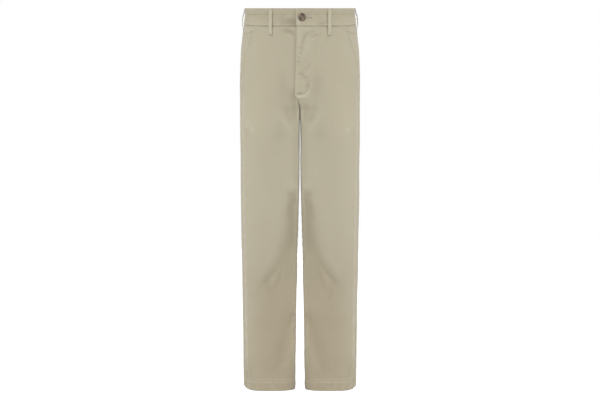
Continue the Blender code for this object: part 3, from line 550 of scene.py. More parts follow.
def relief(panel, side, s, z, lies, x):
    """Height of the finished cloth above the plain garment surface, and marks: colour that follows the relief, painted
    shade in its hollows and painted highlights on its ridges, partly raised cloth rubbed paler.
    """
    first, last = edges(panel, side, z)
    d_side, d_mid = s - first, last - s
    seed = (0.6 if side == "left" else 2.9) + 1.3 * panel
    total = cloth_width(panel, z)

    rise = fold_rise(lies, np.abs(x), z, side)
    rise = rise * smooth((np.abs(x) - 0.003) / 0.016)
    # Creases' marks: painted shade in the hollows, painted highlight on the ridges.
    marks = 0.24 * rise
    # Slow unevenness of washed cloth.
    a = s + (0.0 if side == "left" else 0.37) + 0.8 * panel
    rise = rise + 0.00042 * cloudy(a, z * 0.45, 0.085) + 0.00016 * cloudy(a, z * 0.7, 0.030, 7)

    # Side seam: both turnings pressed open under the panels make a low band
    # on each side of a groove, gathered a little by the stitches.
    lower = smooth((POCKET_FOOT_Z + 0.004 - z) / 0.02) if panel == FRONT else 1.0
    gather = pucker(z, 0.017, seed)
    ridge = lower * smooth((0.0120 - d_side) / 0.0040)
    rise = rise + (0.00085 + 0.00022 * gather) * ridge
    marks = marks + (0.00020 + 0.00040 * gather) * ridge
    rise = rise + lower * tuck(d_side)
    below = z < CROTCH_Z + 0.002
    leg = smooth((CROTCH_Z - 0.002 - z) / 0.012)
    # Inseam: turnings laid to the front and stitched down in two rows.
    gather = pucker(z, 0.0125, seed + 1.1)
    knee = np.exp(-(((z + 0.622) / 0.060) ** 2))
    if panel == FRONT:
        ridge = leg * smooth((0.0115 - d_mid) / 0.0028)
        rise = rise + (0.00085 + (0.00016 + 0.00045 * knee) * gather) * ridge
        marks = marks + (0.00010 + (0.00034 + 0.00050 * knee) * gather) * ridge
        for row in (0.0020, 0.0088):
            rise = rise - leg * 0.00022 * np.exp(-(((d_mid - row) / 0.0011) ** 2))
        rise = rise + leg * tuck(d_mid)
    else:
        rise = rise + leg * (0.00030 + (0.00012 + 0.00045 * knee) * gather) * smooth((0.0090 - d_mid) / 0.0040)
        rise = rise + leg * tuck(d_mid, 0.0014, 0.0014)
        # Seat seam, laid to the wearer's left and stitched down the same way.
        seat = 1.0 - leg
        gather = pucker(z, 0.014, 0.4)
        if side == "left":
            rise = rise + seat * (0.00080 + 0.00016 * gather) * smooth((0.0115 - d_mid) / 0.0028)
            for row in (0.0020, 0.0088):
                rise = rise - seat * 0.00022 * np.exp(-(((d_mid - row) / 0.0011) ** 2))
        rise = rise + seat * tuck(d_mid)
    if panel == FRONT:
        real_x = np.where(s > total, -np.abs(x), np.abs(x))
        if side == "left":
            held = smooth((z + 0.2446) / 0.0106)
            rise = rise + LAP_RISE * held * smooth((s - (total - 0.0140)) / 0.0105)
            inside = smooth((z + 0.243) / 0.012)
            drawn = inside * fly_relief(real_x, z)
            rise = rise + 1.7 * drawn
            marks = marks + 1.35 * drawn
            # Gathers across the fly's stitching and a soft bead outside it.
            off = real_x - read(J_LINE, "off", z)
            g = pucker(z, 0.0105, 3.3)
            upper = smooth((z + 0.226) / 0.02)
            rise = rise + upper * (0.00055 * g - 0.00022) * np.exp(-((off / 0.0034) ** 2))
            marks = marks + upper * (0.00062 * g - 0.00030) * np.exp(-((off / 0.0030) ** 2))
            rise = rise - upper * 0.00035 * smooth((off + 0.0006) / 0.0012) * smooth((0.012 - off) / 0.011)
            marks = marks + upper * smooth((-0.066 - z) / 0.012) * 0.00050 * np.exp(-(((off - 0.0012) / 0.0018) ** 2))
            curve = np.exp(-(((z - (-0.2375 + 0.010 * smooth((real_x - 0.004) / 0.018))) / 0.0030) ** 2)) * smooth((real_x + 0.012) / 0.006) * smooth((0.028 - real_x) / 0.008)
            rise = rise + 0.0015 * curve
            marks = marks + 0.0016 * curve
            rise = rise + (1 - leg) * tuck(d_mid, 0.0010, 0.0007)
        else:
            # The right front dips a little under the fly and below its foot.
            rise = rise + (1 - leg) * smooth((FLY_FOOT_Z + 0.004 - z) / 0.006) * tuck(d_mid, 0.0010, 0.0008)
            edge = real_x - np.where(z > FLY_FOOT_Z, 0.0112, read(FRONT_SEAM, "off", z))
            rise = rise - (1 - leg) * 0.0006 * np.exp(-((edge / 0.0060) ** 2)) * smooth((z + 0.262) / 0.01)
        # Pocket mouth: folded edge, standing off a little in its middle.
        k = (z - POCKET_FOOT_Z) / (_top_at_mouth - POCKET_FOOT_Z)
        up = smooth(k / 0.04)
        gape = np.sin(np.clip(k, 0, 1) * math.pi) ** 1.2
        rise = rise + up * (0.00075 + 0.0013 * gape) * smooth((0.016 - d_side) / 0.014)
        marks = marks + up * 0.0009 * smooth((0.0062 - d_side) / 0.0030)
        rise = rise + up * tuck(d_side, 0.0008, 0.0006)
        rise = rise - up * 0.00022 * np.exp(-(((d_side - 0.0064) / 0.0012) ** 2))
        rise = rise + up * 0.00014 * pucker(z, 0.013, seed) * smooth((0.012 - d_side) / 0.008)
    # Waistband seam: small gathers just under it.
    top = np.exp(-np.clip(TOP_Z - z, 0, 1) / 0.010)
    rise = rise + top * (0.00042 * pucker(s, 0.013, seed) - 0.0002)
    marks = marks + top * 0.00050 * pucker(s, 0.013, seed)
    # Hem: stitched row with roping below and small gathers above.
    h = z - HEM_Z
    calm = 0.30 + 0.70 * smooth(np.minimum(d_side, d_mid) / 0.022)
    rope = calm * pucker(s + 0.55 * h, 0.0155, seed + 0.5)
    rise = rise + 0.00075 * calm * (1 - smooth((h - HEM_DEPTH + 0.0005) / 0.0022)) * smooth((h + 0.001) / 0.003)
    rise = rise + 0.00050 * rope * np.exp(-(((h - 0.0125) / 0.0075) ** 2))
    marks = marks + 0.00048 * rope * np.exp(-(((h - 0.0125) / 0.0080) ** 2))
    rise = rise - 0.00040 * np.exp(-(((h - HEM_DEPTH + 0.0022) / 0.0011) ** 2))
    rise = rise + 0.00026 * pucker(s, 0.012, seed + 2) * np.exp(-np.clip(h - HEM_DEPTH, 0, 1) / 0.010) * (h > HEM_DEPTH - 0.002)
    # Painted shade along the hem's stitched row.
    marks = marks - 0.00090 * np.exp(-(((h - HEM_DEPTH + 0.0026) / 0.0016) ** 2)) * (1 + 0.3 * rope)
    return rise, marks


DEEP_REACH = {  # from the middle out to where the painted shade of the lower inner leg ends
    "z": (-0.455, -0.478, -0.500, -0.560, -0.620, -0.680, -0.730, -0.800, -0.900, -1.020),
    "x": (0.0000, 0.0080, 0.0300, 0.0400, 0.0560, 0.0850, 0.1080, 0.1180, 0.1220, 0.1240),
}


def deep_of(panel, s, z, lies, x):
    """Painted shade of the lower legs, darker and warmer: most on the front's inner side, where the legs shade each
    other, and on the back towards the hem, 0 to 1.
    """
    x = np.abs(x) + 0.004 * cloudy(x * 0.5, z, 0.070, 9)
    reach = read(DEEP_REACH, "x", z)
    soft = 0.014 + 0.030 * smooth((-0.50 - z) / 0.14)
    inner = smooth((reach + soft - x) / (2 * soft)) * smooth((-0.470 - z) / 0.020)
    low = smooth((-0.52 - z) / 0.40)
    plain = 0.45 * low
    front = np.maximum(plain * 0.6, inner * (0.32 + 0.68 * smooth((-0.58 - z) / 0.28)))
    back = 0.75 * smooth((-0.50 - z) / 0.30)
    return np.clip(np.where(lies == FRONT, front, back), 0, 1)


PATCHES = (     # side, middle x, z, reach in x and z, slant, amount: + paler, - deeper; painted highlights and painted shade
    ("both", 0.0400, -0.2350, 0.0300, 0.0480, 0.10, -0.16), ("both", 0.0560, -0.3560, 0.0280, 0.0420, -0.15, -0.08),
    ("both", 0.0400, -0.3060, 0.0160, 0.0360, 0.30, -0.10), ("both", 0.1250, -0.3195, 0.0075, 0.0050, 0.00, 0.55),
    ("both", 0.0120, -0.4620, 0.0200, 0.0090, 0.10, 0.12), ("both", 0.1280, -0.1050, 0.0140, 0.0300, 0.00, 0.10),
    ("both", 0.0560, -0.8800, 0.0180, 0.0650, -0.30, -0.14), ("both", 0.0580, -0.9600, 0.0180, 0.0160, 0.00, -0.18),
    ("both", 0.1255, -0.0490, 0.0080, 0.0070, 0.00, 0.20), ("both", 0.1345, -0.0800, 0.0075, 0.0200, 0.10, -0.30), ("both", 0.0180, -0.5900, 0.0300, 0.0860, -0.16, -0.42),
    ("both", 0.0820, -0.7200, 0.0260, 0.0360, -0.70, -0.16), ("both", 0.0700, -0.8500, 0.0500, 0.1500, 0.00, -0.12),
    ("both", 0.0300, -0.6900, 0.0300, 0.0500, 0.00, -0.20), ("both", 0.0036, -0.4200, 0.0030, 0.1200, 0.00, 0.70),
    ("both", 0.0125, -0.4000, 0.0060, 0.1300, 0.00, -0.28), ("both", 0.0026, -0.2840, 0.0040, 0.0170, 0.00, 1.30),
    ("both", 0.1400, -0.9620, 0.0140, 0.0300, 0.00, -0.45), ("both", 0.1140, -0.3170, 0.0090, 0.0035, 0.00, -0.16),
    ("both", 0.0550, -0.3330, 0.0150, 0.0100, -0.50, -0.20), ("both", 0.0150, -0.2740, 0.0090, 0.0190, 0.00, -0.50),
    ("both", 0.0250, -0.4900, 0.0120, 0.0055, 0.00, -0.26), ("both", 0.0180, -0.4690, 0.0150, 0.0045, 0.00, 0.50),
    ("both", 0.0270, -0.5150, 0.0085, 0.0300, -0.10, -0.55), ("both", 0.0120, -0.5040, 0.0070, 0.0120, 0.00, -0.36), ("both", 0.0060, -0.4950, 0.0030, 0.0220, -0.08, 0.40),
    ("left", 0.0130, -0.0540, 0.0170, 0.0110, 0.00, 0.45), ("left", 0.0270, -0.1050, 0.0060, 0.0400, 0.00, 0.12),
    ("left", -0.0020, -0.0900, 0.0060, 0.0500, 0.00, 0.22), ("left", 0.0220, -0.1980, 0.0060, 0.0060, 0.00, -0.25),
    ("left", 0.0080, -0.2340, 0.0150, 0.0028, -0.45, 0.95), ("left", -0.0010, -0.2275, 0.0090, 0.0026, 0.00, -0.75),
    ("left", 0.0215, -0.2240, 0.0030, 0.0090, 0.70, 0.60), ("left", 0.0165, -0.2200, 0.0030, 0.0080, 0.70, -0.30),
    ("right", 0.0350, -0.0640, 0.0160, 0.0060, 0.20, -0.40), ("right", 0.0150, -0.1700, 0.0070, 0.0700, 0.00, -0.16),
    ("right", 0.0170, -0.2360, 0.0120, 0.0220, 0.20, -0.62), ("left", 0.0420, -0.2000, 0.0140, 0.0300, 0.00, -0.10),
    ("right", 0.0300, -0.0900, 0.0300, 0.0500, 0.00, -0.06),
)


BASE = {        # the front's painted shade at each height, even across it
    "z":    (-0.030, -0.240, -0.300, -0.480, -0.560, -0.720, -0.800, -0.920, -1.011),
    "deep_and_shaded": (0.2100, 0.2300, 0.1000, 0.0700, 0.1100, 0.1300, 0.0500, 0.0700, 0.2000),
}


def patches(side, lies, x, z):
    """Painted highlights and painted shade on the front, where folds, the fly and the edges by the gap between the legs
    catch light and fall in shade, partly uneven washing, and the painted shade at each height.
    """
    pale, dark = np.zeros(np.shape(x)), np.zeros(np.shape(x)) + read(BASE, "deep_and_shaded", z) * (lies == FRONT)
    for which, x0, z0, reach_x, reach_z, slant, amount in PATCHES:
        if which not in ("both", side):
            continue
        u, v = x - x0 - slant * (z - z0), z - z0
        blot = abs(amount) * np.exp(-((u / reach_x) ** 2) - (v / reach_z) ** 2) * (lies == FRONT)
        pale, dark = (pale + blot, dark) if amount > 0 else (pale, dark + blot)
    return pale, dark


def wear_of(panel, side, s, z, lies, x):
    """How far the surface is rubbed paler: seams, edges and hem, and a paler line above the front's hem, 0 to 1."""
    first, last = edges(panel, side, z)
    d_side, d_mid = s - first, last - s
    mottled = 0.55 + 0.45 * np.clip(cloudy(s, z, 0.012, 3), -1, 1)
    w = np.exp(-np.clip(d_side, 0, 1) / 0.0030) * 0.9
    w = np.maximum(w, 0.75 * np.exp(-np.clip(d_mid, 0, 1) / 0.0030))
    w = np.maximum(w, 0.45 * np.exp(-(((d_side - 0.0105) / 0.0022) ** 2)))
    if panel == FRONT:
        rows = smooth((-0.74 - z) / 0.08) + 0.4 * np.exp(-(((z + 0.60) / 0.07) ** 2))
        w = np.maximum(w, rows * 0.62 * np.exp(-(((d_mid - 0.0018) / 0.0014) ** 2)))
        w = np.maximum(w, rows * 0.62 * np.exp(-(((d_mid - 0.0088) / 0.0014) ** 2)))
    h = z - HEM_Z
    w = np.maximum(w, 0.9 * np.exp(-np.clip(h, 0, 1) / 0.0022))
    w = np.maximum(w, 0.7 * np.exp(-(((h - HEM_DEPTH - 0.0014) / 0.0016) ** 2)))
    if panel == FRONT:
        w = np.maximum(w, 0.60 * np.exp(-(((h - HEM_DEPTH - 0.0085) / 0.0014) ** 2)))
    return np.clip(w * mottled, 0, 1)


def skin(panel, side, s, z, extra=0.0):
    """Outer points of a finished panel at cloth length s and real height z,
    before mirroring, with the plain surface's normals."""
    up = HEM_LIFT * smooth((0.050 - np.abs(s)) / 0.036) * smooth((0.050 + HEM_Z - z) / 0.050)
    p, lies = surface(panel, s, z + up)
    n = normal(panel, s, z + up)
    rise = relief(panel, side, s, z, lies, p[..., 0])[0] + extra
    p = p + n * np.asarray(rise)[..., None]
    bend = read(SEAM_BEND, "off", z) * np.exp(-((p[..., 0] / 0.020) ** 2)) * (lies == FRONT)
    p[..., 0] -= bend if side == "left" else -bend
    return p, n


def spaced(near_start, near_end, middle):
    """Share-and-offset columns: fixed steps by both edges, even between."""
    first = np.array([(0.0, d) for d in near_start])
    a, b = near_start[-1], -near_end[-1]
    t = np.linspace(0, 1, middle + 2)[1:-1]
    mid = np.stack((t, a + (b - a) * t), 1)
    last = np.array([(1.0, -d) for d in near_end[::-1]])
    return np.concatenate((first, mid, last))


EDGE_STEPS = (0.0, 0.00025, 0.0006, 0.0011, 0.0018, 0.0028, 0.0040, 0.0056, 0.0074, 0.0092, 0.0110, 0.0130, 0.0154)


def row_heights():
    """Nominal heights of the rows from the waistband seam to the hem fold."""
    zs = [TOP_Z]
    while zs[-1] > HEM_Z + 0.0016:
        z = zs[-1]
        step = 0.0021 if z > -0.26 else 0.0024 if z > -0.36 else 0.0030
        if -0.50 < z < -0.46 or -0.75 < z < -0.60:
            step = 0.0025
        if z < HEM_Z + 0.040:
            step = 0.0013
        zs.append(z - step)
    zs[-1] = HEM_Z + 0.0013
    return np.array(zs)


def hem_fold(radius=0.00125):
    """Rows round the fold and up the inside: height, and way in."""
    a = np.linspace(0, math.pi, 8)[1:]
    z = HEM_Z + radius - radius * np.sin(a)
    into = radius - radius * np.cos(a)
    z_up = np.linspace(HEM_Z + radius + 0.002, HEM_Z + HEM_DEPTH + 0.001, 8)
    return np.concatenate((z, z_up)), np.concatenate((into, np.full(len(z_up), 2 * radius)))


TURNED = np.array((0.0004, 0.0022, 0.0045))     # turnings past a panel's edge
TURNED_UP = (0.0032, 0.0007)                    # and up into the waistband
TURNED_WALL = 0.0005


def panel_mesh(panel, side):
    zs = row_heights()
    fold_z, into = hem_fold()
    z_all = np.concatenate((TOP_Z + np.array(TURNED_UP), zs, fold_z))
    depth = np.concatenate((np.zeros(len(zs) + len(TURNED_UP)), into))
    columns = spaced(EDGE_STEPS, EDGE_STEPS, 64 if panel == FRONT else 62)
    first, last = edges(panel, side, np.maximum(z_all, HEM_Z + 0.0012))
    s = first[:, None] + (last - first)[:, None] * columns[None, :, 0] + columns[None, :, 1]
    hidden = np.zeros(s.shape, bool)
    if panel == BACK:
        # Shorter at the crotch and in the hem.
        reach = 0.08 + 0.92 * smooth((np.abs(z_all - CROTCH_Z) - 0.004) / 0.020) * smooth((z_all - HEM_Z - HEM_DEPTH) / 0.006)
        s = np.concatenate((first[:, None] - reach[:, None] * TURNED[None, ::-1], s, last[:, None] + reach[:, None] * TURNED[None, :]), 1)
        hidden = np.zeros(s.shape, bool)
        hidden[:, :len(TURNED)] = hidden[:, -len(TURNED):] = True
    z = np.repeat(z_all[:, None], s.shape[1], 1)
    flat_s = s.copy()
    s_real, z_real = follow_waist(panel, s, z)
    p, n = skin(panel, side, s_real, z_real)
    plain, lies = surface(panel, s_real, z_real)
    drop = 0.0019 if side == "left" else 0.0026
    under = plain + n * (fold_rise(lies, np.abs(plain[..., 0]), z_real, side) * smooth((np.abs(plain[..., 0]) - 0.003) / 0.016) - drop)[..., None]
    p = np.where(hidden[..., None], under, p)
    up = np.zeros(s.shape, bool)
    up[:len(TURNED_UP)] = True
    past = s_real - cloth_width(panel, z_real)
    lap = 0.0 if panel == BACK else BAND_LAP_RISE * smooth((past + 0.046) / 0.014) if side == "left" else -BAND_LAP_RISE * smooth((past + 0.024) / 0.012)
    inside = plain + n * (BAND_PROUD - 0.0012 + lap)[..., None] if np.ndim(lap) else plain + n * (BAND_PROUD - 0.0012)
    p = np.where((up & ~hidden)[..., None], inside, p)
    wall = np.where(up | hidden, TURNED_WALL, CLOTH)
    p = p - n * depth[:, None, None]
    # The inner ply of the hem keeps to the inside of the outer one.
    surface_p, lies = surface(panel, s_real, z_real)
    marks = relief(panel, side, s_real, z_real, lies, surface_p[..., 0])[1]
    wear_and_highlight = wear_of(panel, side, s_real, z_real, lies, p[..., 0])
    uv = np.stack((flat_s, z_real - depth[:, None] * 0.7), -1)
    name = f"cloth_{NAMES[panel]}_{side}"
    deep_and_shaded = deep_of(panel, s_real, z_real, lies, p[..., 0])
    seen_x = np.where((lies == FRONT) & (s_real > cloth_width(FRONT, z_real)), -surface_p[..., 0] * 0 - np.abs(surface_p[..., 0]), np.abs(surface_p[..., 0]))
    pale, dark = patches(side, lies, seen_x, z_real)
    # Rubbed ridge of the side seam's folded allowances, lightened further as a painted highlight, and painted shade in
    # the groove by it.
    inward = read(OUTLINE, "side", z_real) - np.abs(surface_p[..., 0])
    low = smooth((-0.20 - z_real) / 0.04) * smooth((z_real + 0.970) / 0.060) * (lies == FRONT)
    ridge = 0.80 * low * np.exp(-(((inward - 0.0112) / 0.0027) ** 2)) * (0.80 + 0.35 * cloudy(s_real, z_real, 0.050, 9))
    # Paler: rubbed, plus painted highlights on the marks' ridges and the pale patches. Darker: painted shade in the
    # marks' hollows, the dark patches and the side seam's groove.
    wear_and_highlight = np.clip(wear_and_highlight + np.clip(marks / 0.0022, 0, 0.75) + pale + ridge, 0, 1.3)
    shade = np.clip(-marks / 0.0020, 0, 0.9) + dark + 0.38 * low * np.exp(-(((inward - 0.0046) / 0.0017) ** 2))
    # Painted shadow under the waistband, besides the painted shade in the groove of the side seam.
    shade = shade + 1.25 * np.exp(-((np.clip(TOP_Z - z, 0, 1) / 0.0023) ** 2)) * (0.8 + 0.3 * cloudy(s, z, 0.05, 6))
    if panel == FRONT:
        # Painted shade in the side seam's groove below the pocket and along the mouth's stitched row, a rubbed mouth
        # edge made paler still as a painted highlight, and a dark dash across the mouth's top.
        edge = s - first[:, None]
        shade = shade + 0.55 * np.exp(-(np.clip(edge, 0, 1) / 0.0016) ** 2) * smooth((-0.19 - z_real) / 0.02)
        lip = smooth((z_real - POCKET_FOOT_Z) / 0.012)
        shade = shade + 0.62 * lip * np.exp(-(((edge - 0.0072) / 0.0024) ** 2)) * (0.75 + 0.45 * cloudy(s_real, z_real, 0.030, 2))
        wear_and_highlight = wear_and_highlight + 0.40 * lip * np.exp(-(((edge - 0.0012) / 0.0030) ** 2))
        dash = np.exp(-(((edge - 0.0010) / 0.0048) ** 2) - ((z_real + 0.0600) / 0.0024) ** 2)
        shade = shade + 1.1 * dash
        wear_and_highlight = wear_and_highlight * (1 - 0.8 * dash)
    shade = np.clip(shade, 0, 2.2)
    return sheet_mesh(name, p, n, wall, uv, {"wear_and_highlight": wear_and_highlight, "deep_and_shaded": deep_and_shaded, "shade": shade}, flip_x=(side == "right"))


# ================================================================== materials
def new_material(name):
    mat = bpy.data.materials.new(name)
    mat.use_nodes = True
    nodes, links = mat.node_tree.nodes, mat.node_tree.links
    nodes.clear()
    out = nodes.new("ShaderNodeOutputMaterial")
    shader = nodes.new("ShaderNodeBsdfPrincipled")
    links.new(shader.outputs["BSDF"], out.inputs["Surface"])
    return mat, nodes, links, shader


def math_node(nodes, links, operation, a, b=None, c=None):
    node = nodes.new("ShaderNodeMath")
    node.operation = operation
    for k, value in enumerate((a, b, c)):
        if value is None:
            continue
        if isinstance(value, (int, float)):
            node.inputs[k].default_value = value
        else:
            links.new(value, node.inputs[k])
    return node.outputs[0]


def mix_colour(nodes, links, fac, a, b, blend="MIX", clamp=True):
    node = nodes.new("ShaderNodeMix")
    node.data_type = "RGBA"
    node.clamp_factor = clamp
    node.blend_type = blend
    for key, value in ((0, fac), (6, a), (7, b)):
        if isinstance(value, (int, float)):
            node.inputs[key].default_value = value
        elif isinstance(value, tuple):
            node.inputs[key].default_value = value
        else:
            links.new(value, node.inputs[key])
    return node.outputs[2]


KHAKI = (0.440, 0.396, 0.290, 1.0)
KHAKI_DEEP_AND_SHADED = (0.405, 0.345, 0.242, 1.0)
KHAKI_WORN_AND_HIGHLIT = (0.530, 0.490, 0.380, 1.0)


def twill_material(name="khaki_twill", has_wear_and_highlight=True):
    mat, nodes, links, shader = new_material(name)
    shader.inputs["Roughness"].default_value = 0.88
    shader.inputs["Specular IOR Level"].default_value = 0.25
    shader.inputs["Sheen Weight"].default_value = 0.45
    shader.inputs["Sheen Roughness"].default_value = 0.35
    shader.inputs["Sheen Tint"].default_value = (0.95, 0.93, 0.88, 1.0)
    uv = nodes.new("ShaderNodeUVMap")
    uv.uv_map = "cloth"
    place = nodes.new("ShaderNodeTexCoord")
    # Twill: steep ribs 0.6 mm apart, each broken into the floats of its yarns.
    turn = nodes.new("ShaderNodeMapping")
    turn.inputs["Rotation"].default_value = (0, 0, math.radians(27))
    links.new(uv.outputs["UV"], turn.inputs["Vector"])
    ribs = nodes.new("ShaderNodeTexWave")
    ribs.wave_type, ribs.bands_direction, ribs.wave_profile = "BANDS", "X", "SIN"
    ribs.inputs["Scale"].default_value = 1000 / 0.60 / 20 * 6.2832 / 2
    ribs.inputs["Distortion"].default_value = 0.6
    ribs.inputs["Detail"].default_value = 2.0
    ribs.inputs["Detail Scale"].default_value = 2.0
    links.new(turn.outputs["Vector"], ribs.inputs["Vector"])
    yarn = nodes.new("ShaderNodeTexNoise")
    yarn.inputs["Scale"].default_value = 900.0
    yarn.inputs["Detail"].default_value = 3.0
    stretch = nodes.new("ShaderNodeMapping")
    stretch.inputs["Scale"].default_value = (1.0, 0.18, 1.0)
    links.new(uv.outputs["UV"], stretch.inputs["Vector"])
    links.new(stretch.outputs["Vector"], yarn.inputs["Vector"])
    # Uneven dye and wash, from a hand's breadth down to a few millimetres.
    broad = nodes.new("ShaderNodeTexNoise")
    broad.inputs["Scale"].default_value = 9.0
    broad.inputs["Detail"].default_value = 4.0
    links.new(place.outputs["Object"], broad.inputs["Vector"])
    fine = nodes.new("ShaderNodeTexNoise")
    fine.inputs["Scale"].default_value = 120.0
    fine.inputs["Detail"].default_value = 4.0
    links.new(place.outputs["Object"], fine.inputs["Vector"])
    # Darker and warmer where the attribute paints shade on the lower legs, and at random where the dye is uneven.
    tone = math_node(nodes, links, "MULTIPLY_ADD", broad.outputs["Fac"], 0.5, math_node(nodes, links, "MULTIPLY", fine.outputs["Fac"], 0.25))
    held = nodes.new("ShaderNodeAttribute")
    held.attribute_name = "deep_and_shaded"
    deep_and_shaded = math_node(nodes, links, "ADD", held.outputs["Fac"], math_node(nodes, links, "MULTIPLY_ADD", tone, 0.6, -0.22))
    deep_and_shaded = math_node(nodes, links, "MINIMUM", math_node(nodes, links, "MAXIMUM", deep_and_shaded, 0.0), 1.0)
    colour = mix_colour(nodes, links, deep_and_shaded, KHAKI, KHAKI_DEEP_AND_SHADED)
    # Painted shade from the shade attribute: creases, seams, under the waistband and at the loops.
    hollow = nodes.new("ShaderNodeAttribute")
    hollow.attribute_name = "shade"
    colour = mix_colour(nodes, links, hollow.outputs["Fac"], colour, (0.80, 0.79, 0.77, 1.0), "MULTIPLY", False)
    if has_wear_and_highlight:
        # Paler where rubbed, and painted highlights where ridges, seam edges, loops and the waistband's end catch
        # light.
        worn_and_highlit = nodes.new("ShaderNodeAttribute")
        worn_and_highlit.attribute_name = "wear_and_highlight"
        colour = mix_colour(nodes, links, math_node(nodes, links, "MULTIPLY", worn_and_highlit.outputs["Fac"], 0.62), colour, KHAKI_WORN_AND_HIGHLIT)
    weave = math_node(nodes, links, "MULTIPLY_ADD", ribs.outputs["Fac"], 0.16, math_node(nodes, links, "MULTIPLY_ADD", yarn.outputs["Fac"], 0.16, 0.84))
    shade = nodes.new("ShaderNodeCombineColor")
    for k in range(3):
        links.new(weave, shade.inputs[k])
    colour = mix_colour(nodes, links, 1.0, colour, shade.outputs["Color"], "MULTIPLY")
    links.new(colour, shader.inputs["Base Color"])
    # Bump: weave, then a soft washed crumple.
    crumple = nodes.new("ShaderNodeTexNoise")
    crumple.inputs["Scale"].default_value = 75.0
    crumple.inputs["Detail"].default_value = 3.0
    links.new(place.outputs["Object"], crumple.inputs["Vector"])
    soft = nodes.new("ShaderNodeBump")
    soft.inputs["Strength"].default_value = 0.35
    soft.inputs["Distance"].default_value = 0.0006
    links.new(crumple.outputs["Fac"], soft.inputs["Height"])
    bump = nodes.new("ShaderNodeBump")
    bump.inputs["Strength"].default_value = 0.5
    bump.inputs["Distance"].default_value = 0.00012
    links.new(math_node(nodes, links, "MULTIPLY_ADD", yarn.outputs["Fac"], 0.5, ribs.outputs["Fac"]), bump.inputs["Height"])
    links.new(soft.outputs["Normal"], bump.inputs["Normal"])
    links.new(bump.outputs["Normal"], shader.inputs["Normal"])
    return mat


TWILL = twill_material()



def thread_material(name, dark, light):
    mat, nodes, links, shader = new_material(name)
    shader.inputs["Roughness"].default_value = 0.62
    shader.inputs["Specular IOR Level"].default_value = 0.35
    shader.inputs["Sheen Weight"].default_value = 0.15
    place = nodes.new("ShaderNodeTexCoord")
    twist = nodes.new("ShaderNodeTexNoise")
    twist.inputs["Scale"].default_value = 700.0
    twist.inputs["Detail"].default_value = 2.0
    links.new(place.outputs["Object"], twist.inputs["Vector"])
    colour = mix_colour(nodes, links, twist.outputs["Fac"], dark, light)
    links.new(colour, shader.inputs["Base Color"])
    bump = nodes.new("ShaderNodeBump")
    bump.inputs["Strength"].default_value = 0.4
    bump.inputs["Distance"].default_value = 0.0001
    links.new(twist.outputs["Fac"], bump.inputs["Height"])
    links.new(bump.outputs["Normal"], shader.inputs["Normal"])
    return mat


def horn_material():
    """Dark mottled button, satin."""
    mat, nodes, links, shader = new_material("dark_button")
    shader.inputs["Roughness"].default_value = 0.40
    shader.inputs["Specular IOR Level"].default_value = 0.35
    place = nodes.new("ShaderNodeTexCoord")
    cloud = nodes.new("ShaderNodeTexNoise")
    cloud.inputs["Scale"].default_value = 170.0
    cloud.inputs["Detail"].default_value = 5.0
    cloud.inputs["Distortion"].default_value = 1.2
    links.new(place.outputs["Object"], cloud.inputs["Vector"])
    veins = nodes.new("ShaderNodeTexNoise")
    veins.inputs["Scale"].default_value = 620.0
    veins.inputs["Detail"].default_value = 3.0
    links.new(place.outputs["Object"], veins.inputs["Vector"])
    ramp = nodes.new("ShaderNodeValToRGB")
    ramp.color_ramp.elements[0].position, ramp.color_ramp.elements[0].color = 0.40, (0.024, 0.015, 0.009, 1)
    ramp.color_ramp.elements[1].position, ramp.color_ramp.elements[1].color = 0.64, (0.230, 0.165, 0.105, 1)
    blend = math_node(nodes, links, "MULTIPLY_ADD", veins.outputs["Fac"], 0.35, math_node(nodes, links, "MULTIPLY", cloud.outputs["Fac"], 0.68))
    links.new(blend, ramp.inputs["Fac"])
    # A paler place through the dark, and two darker places.
    paler_spot = nodes.new("ShaderNodeAttribute")
    paler_spot.attribute_name = "paler_spot"
    paler = mix_colour(nodes, links, paler_spot.outputs["Fac"], ramp.outputs["Color"], (0.330, 0.260, 0.180, 1.0))
    darker_spots = nodes.new("ShaderNodeAttribute")
    darker_spots.attribute_name = "darker_spots"
    links.new(mix_colour(nodes, links, darker_spots.outputs["Fac"], paler, (0.018, 0.012, 0.008, 1.0)), shader.inputs["Base Color"])
    bump = nodes.new("ShaderNodeBump")
    bump.inputs["Strength"].default_value = 0.15
    bump.inputs["Distance"].default_value = 0.0001
    links.new(veins.outputs["Fac"], bump.inputs["Height"])
    links.new(bump.outputs["Normal"], shader.inputs["Normal"])
    return mat


THREAD_DARK = (0.420, 0.370, 0.260, 1.0)
THREAD_LIGHT = (0.600, 0.555, 0.430, 1.0)
THREAD = thread_material("thread", THREAD_DARK, THREAD_LIGHT)
BUTTON_THREAD = thread_material("thread_brown", (0.150, 0.105, 0.085, 1.0), (0.400, 0.320, 0.270, 1.0))
HORN = horn_material()


# ================================================================ waistband
BACK_TOTAL = float(cloth_width(BACK, TOP_SIDE_Z))
FRONT_TOTAL = float(cloth_width(FRONT, -0.03))
CLOSING = BACK_TOTAL + FRONT_TOTAL          # the middle front, along the band
HEM_LIFT = 0.0066      # the hem rides up by the side seam
HOLE_Z = -0.0288                            # buttonhole
HOLE_FROM, HOLE_TO = 0.0060, 0.0318


def soft_line(x, z, half, height, *line):
    line = np.array(line, float)
    seg = np.diff(line, axis=0)
    length = np.hypot(seg[:, 0], seg[:, 1])
    upto = np.concatenate(((0.0,), np.cumsum(length)))
    best, along = np.full(np.shape(x), 1e9), np.zeros(np.shape(x))
    for k in range(len(seg)):
        t = np.clip(((x - line[k, 0]) * seg[k, 0] + (z - line[k, 1]) * seg[k, 1]) / length[k] ** 2, 0, 1)
        away = np.hypot(x - line[k, 0] - t * seg[k, 0], z - line[k, 1] - t * seg[k, 1])
        closer = away < best
        best, along = np.where(closer, away, best), np.where(closer, (upto[k] + t * length[k]) / upto[-1], along)
    return height * np.exp(-((best / half) ** 2)) * smooth((along + 0.1) / 0.4) * smooth((1.1 - along) / 0.4)


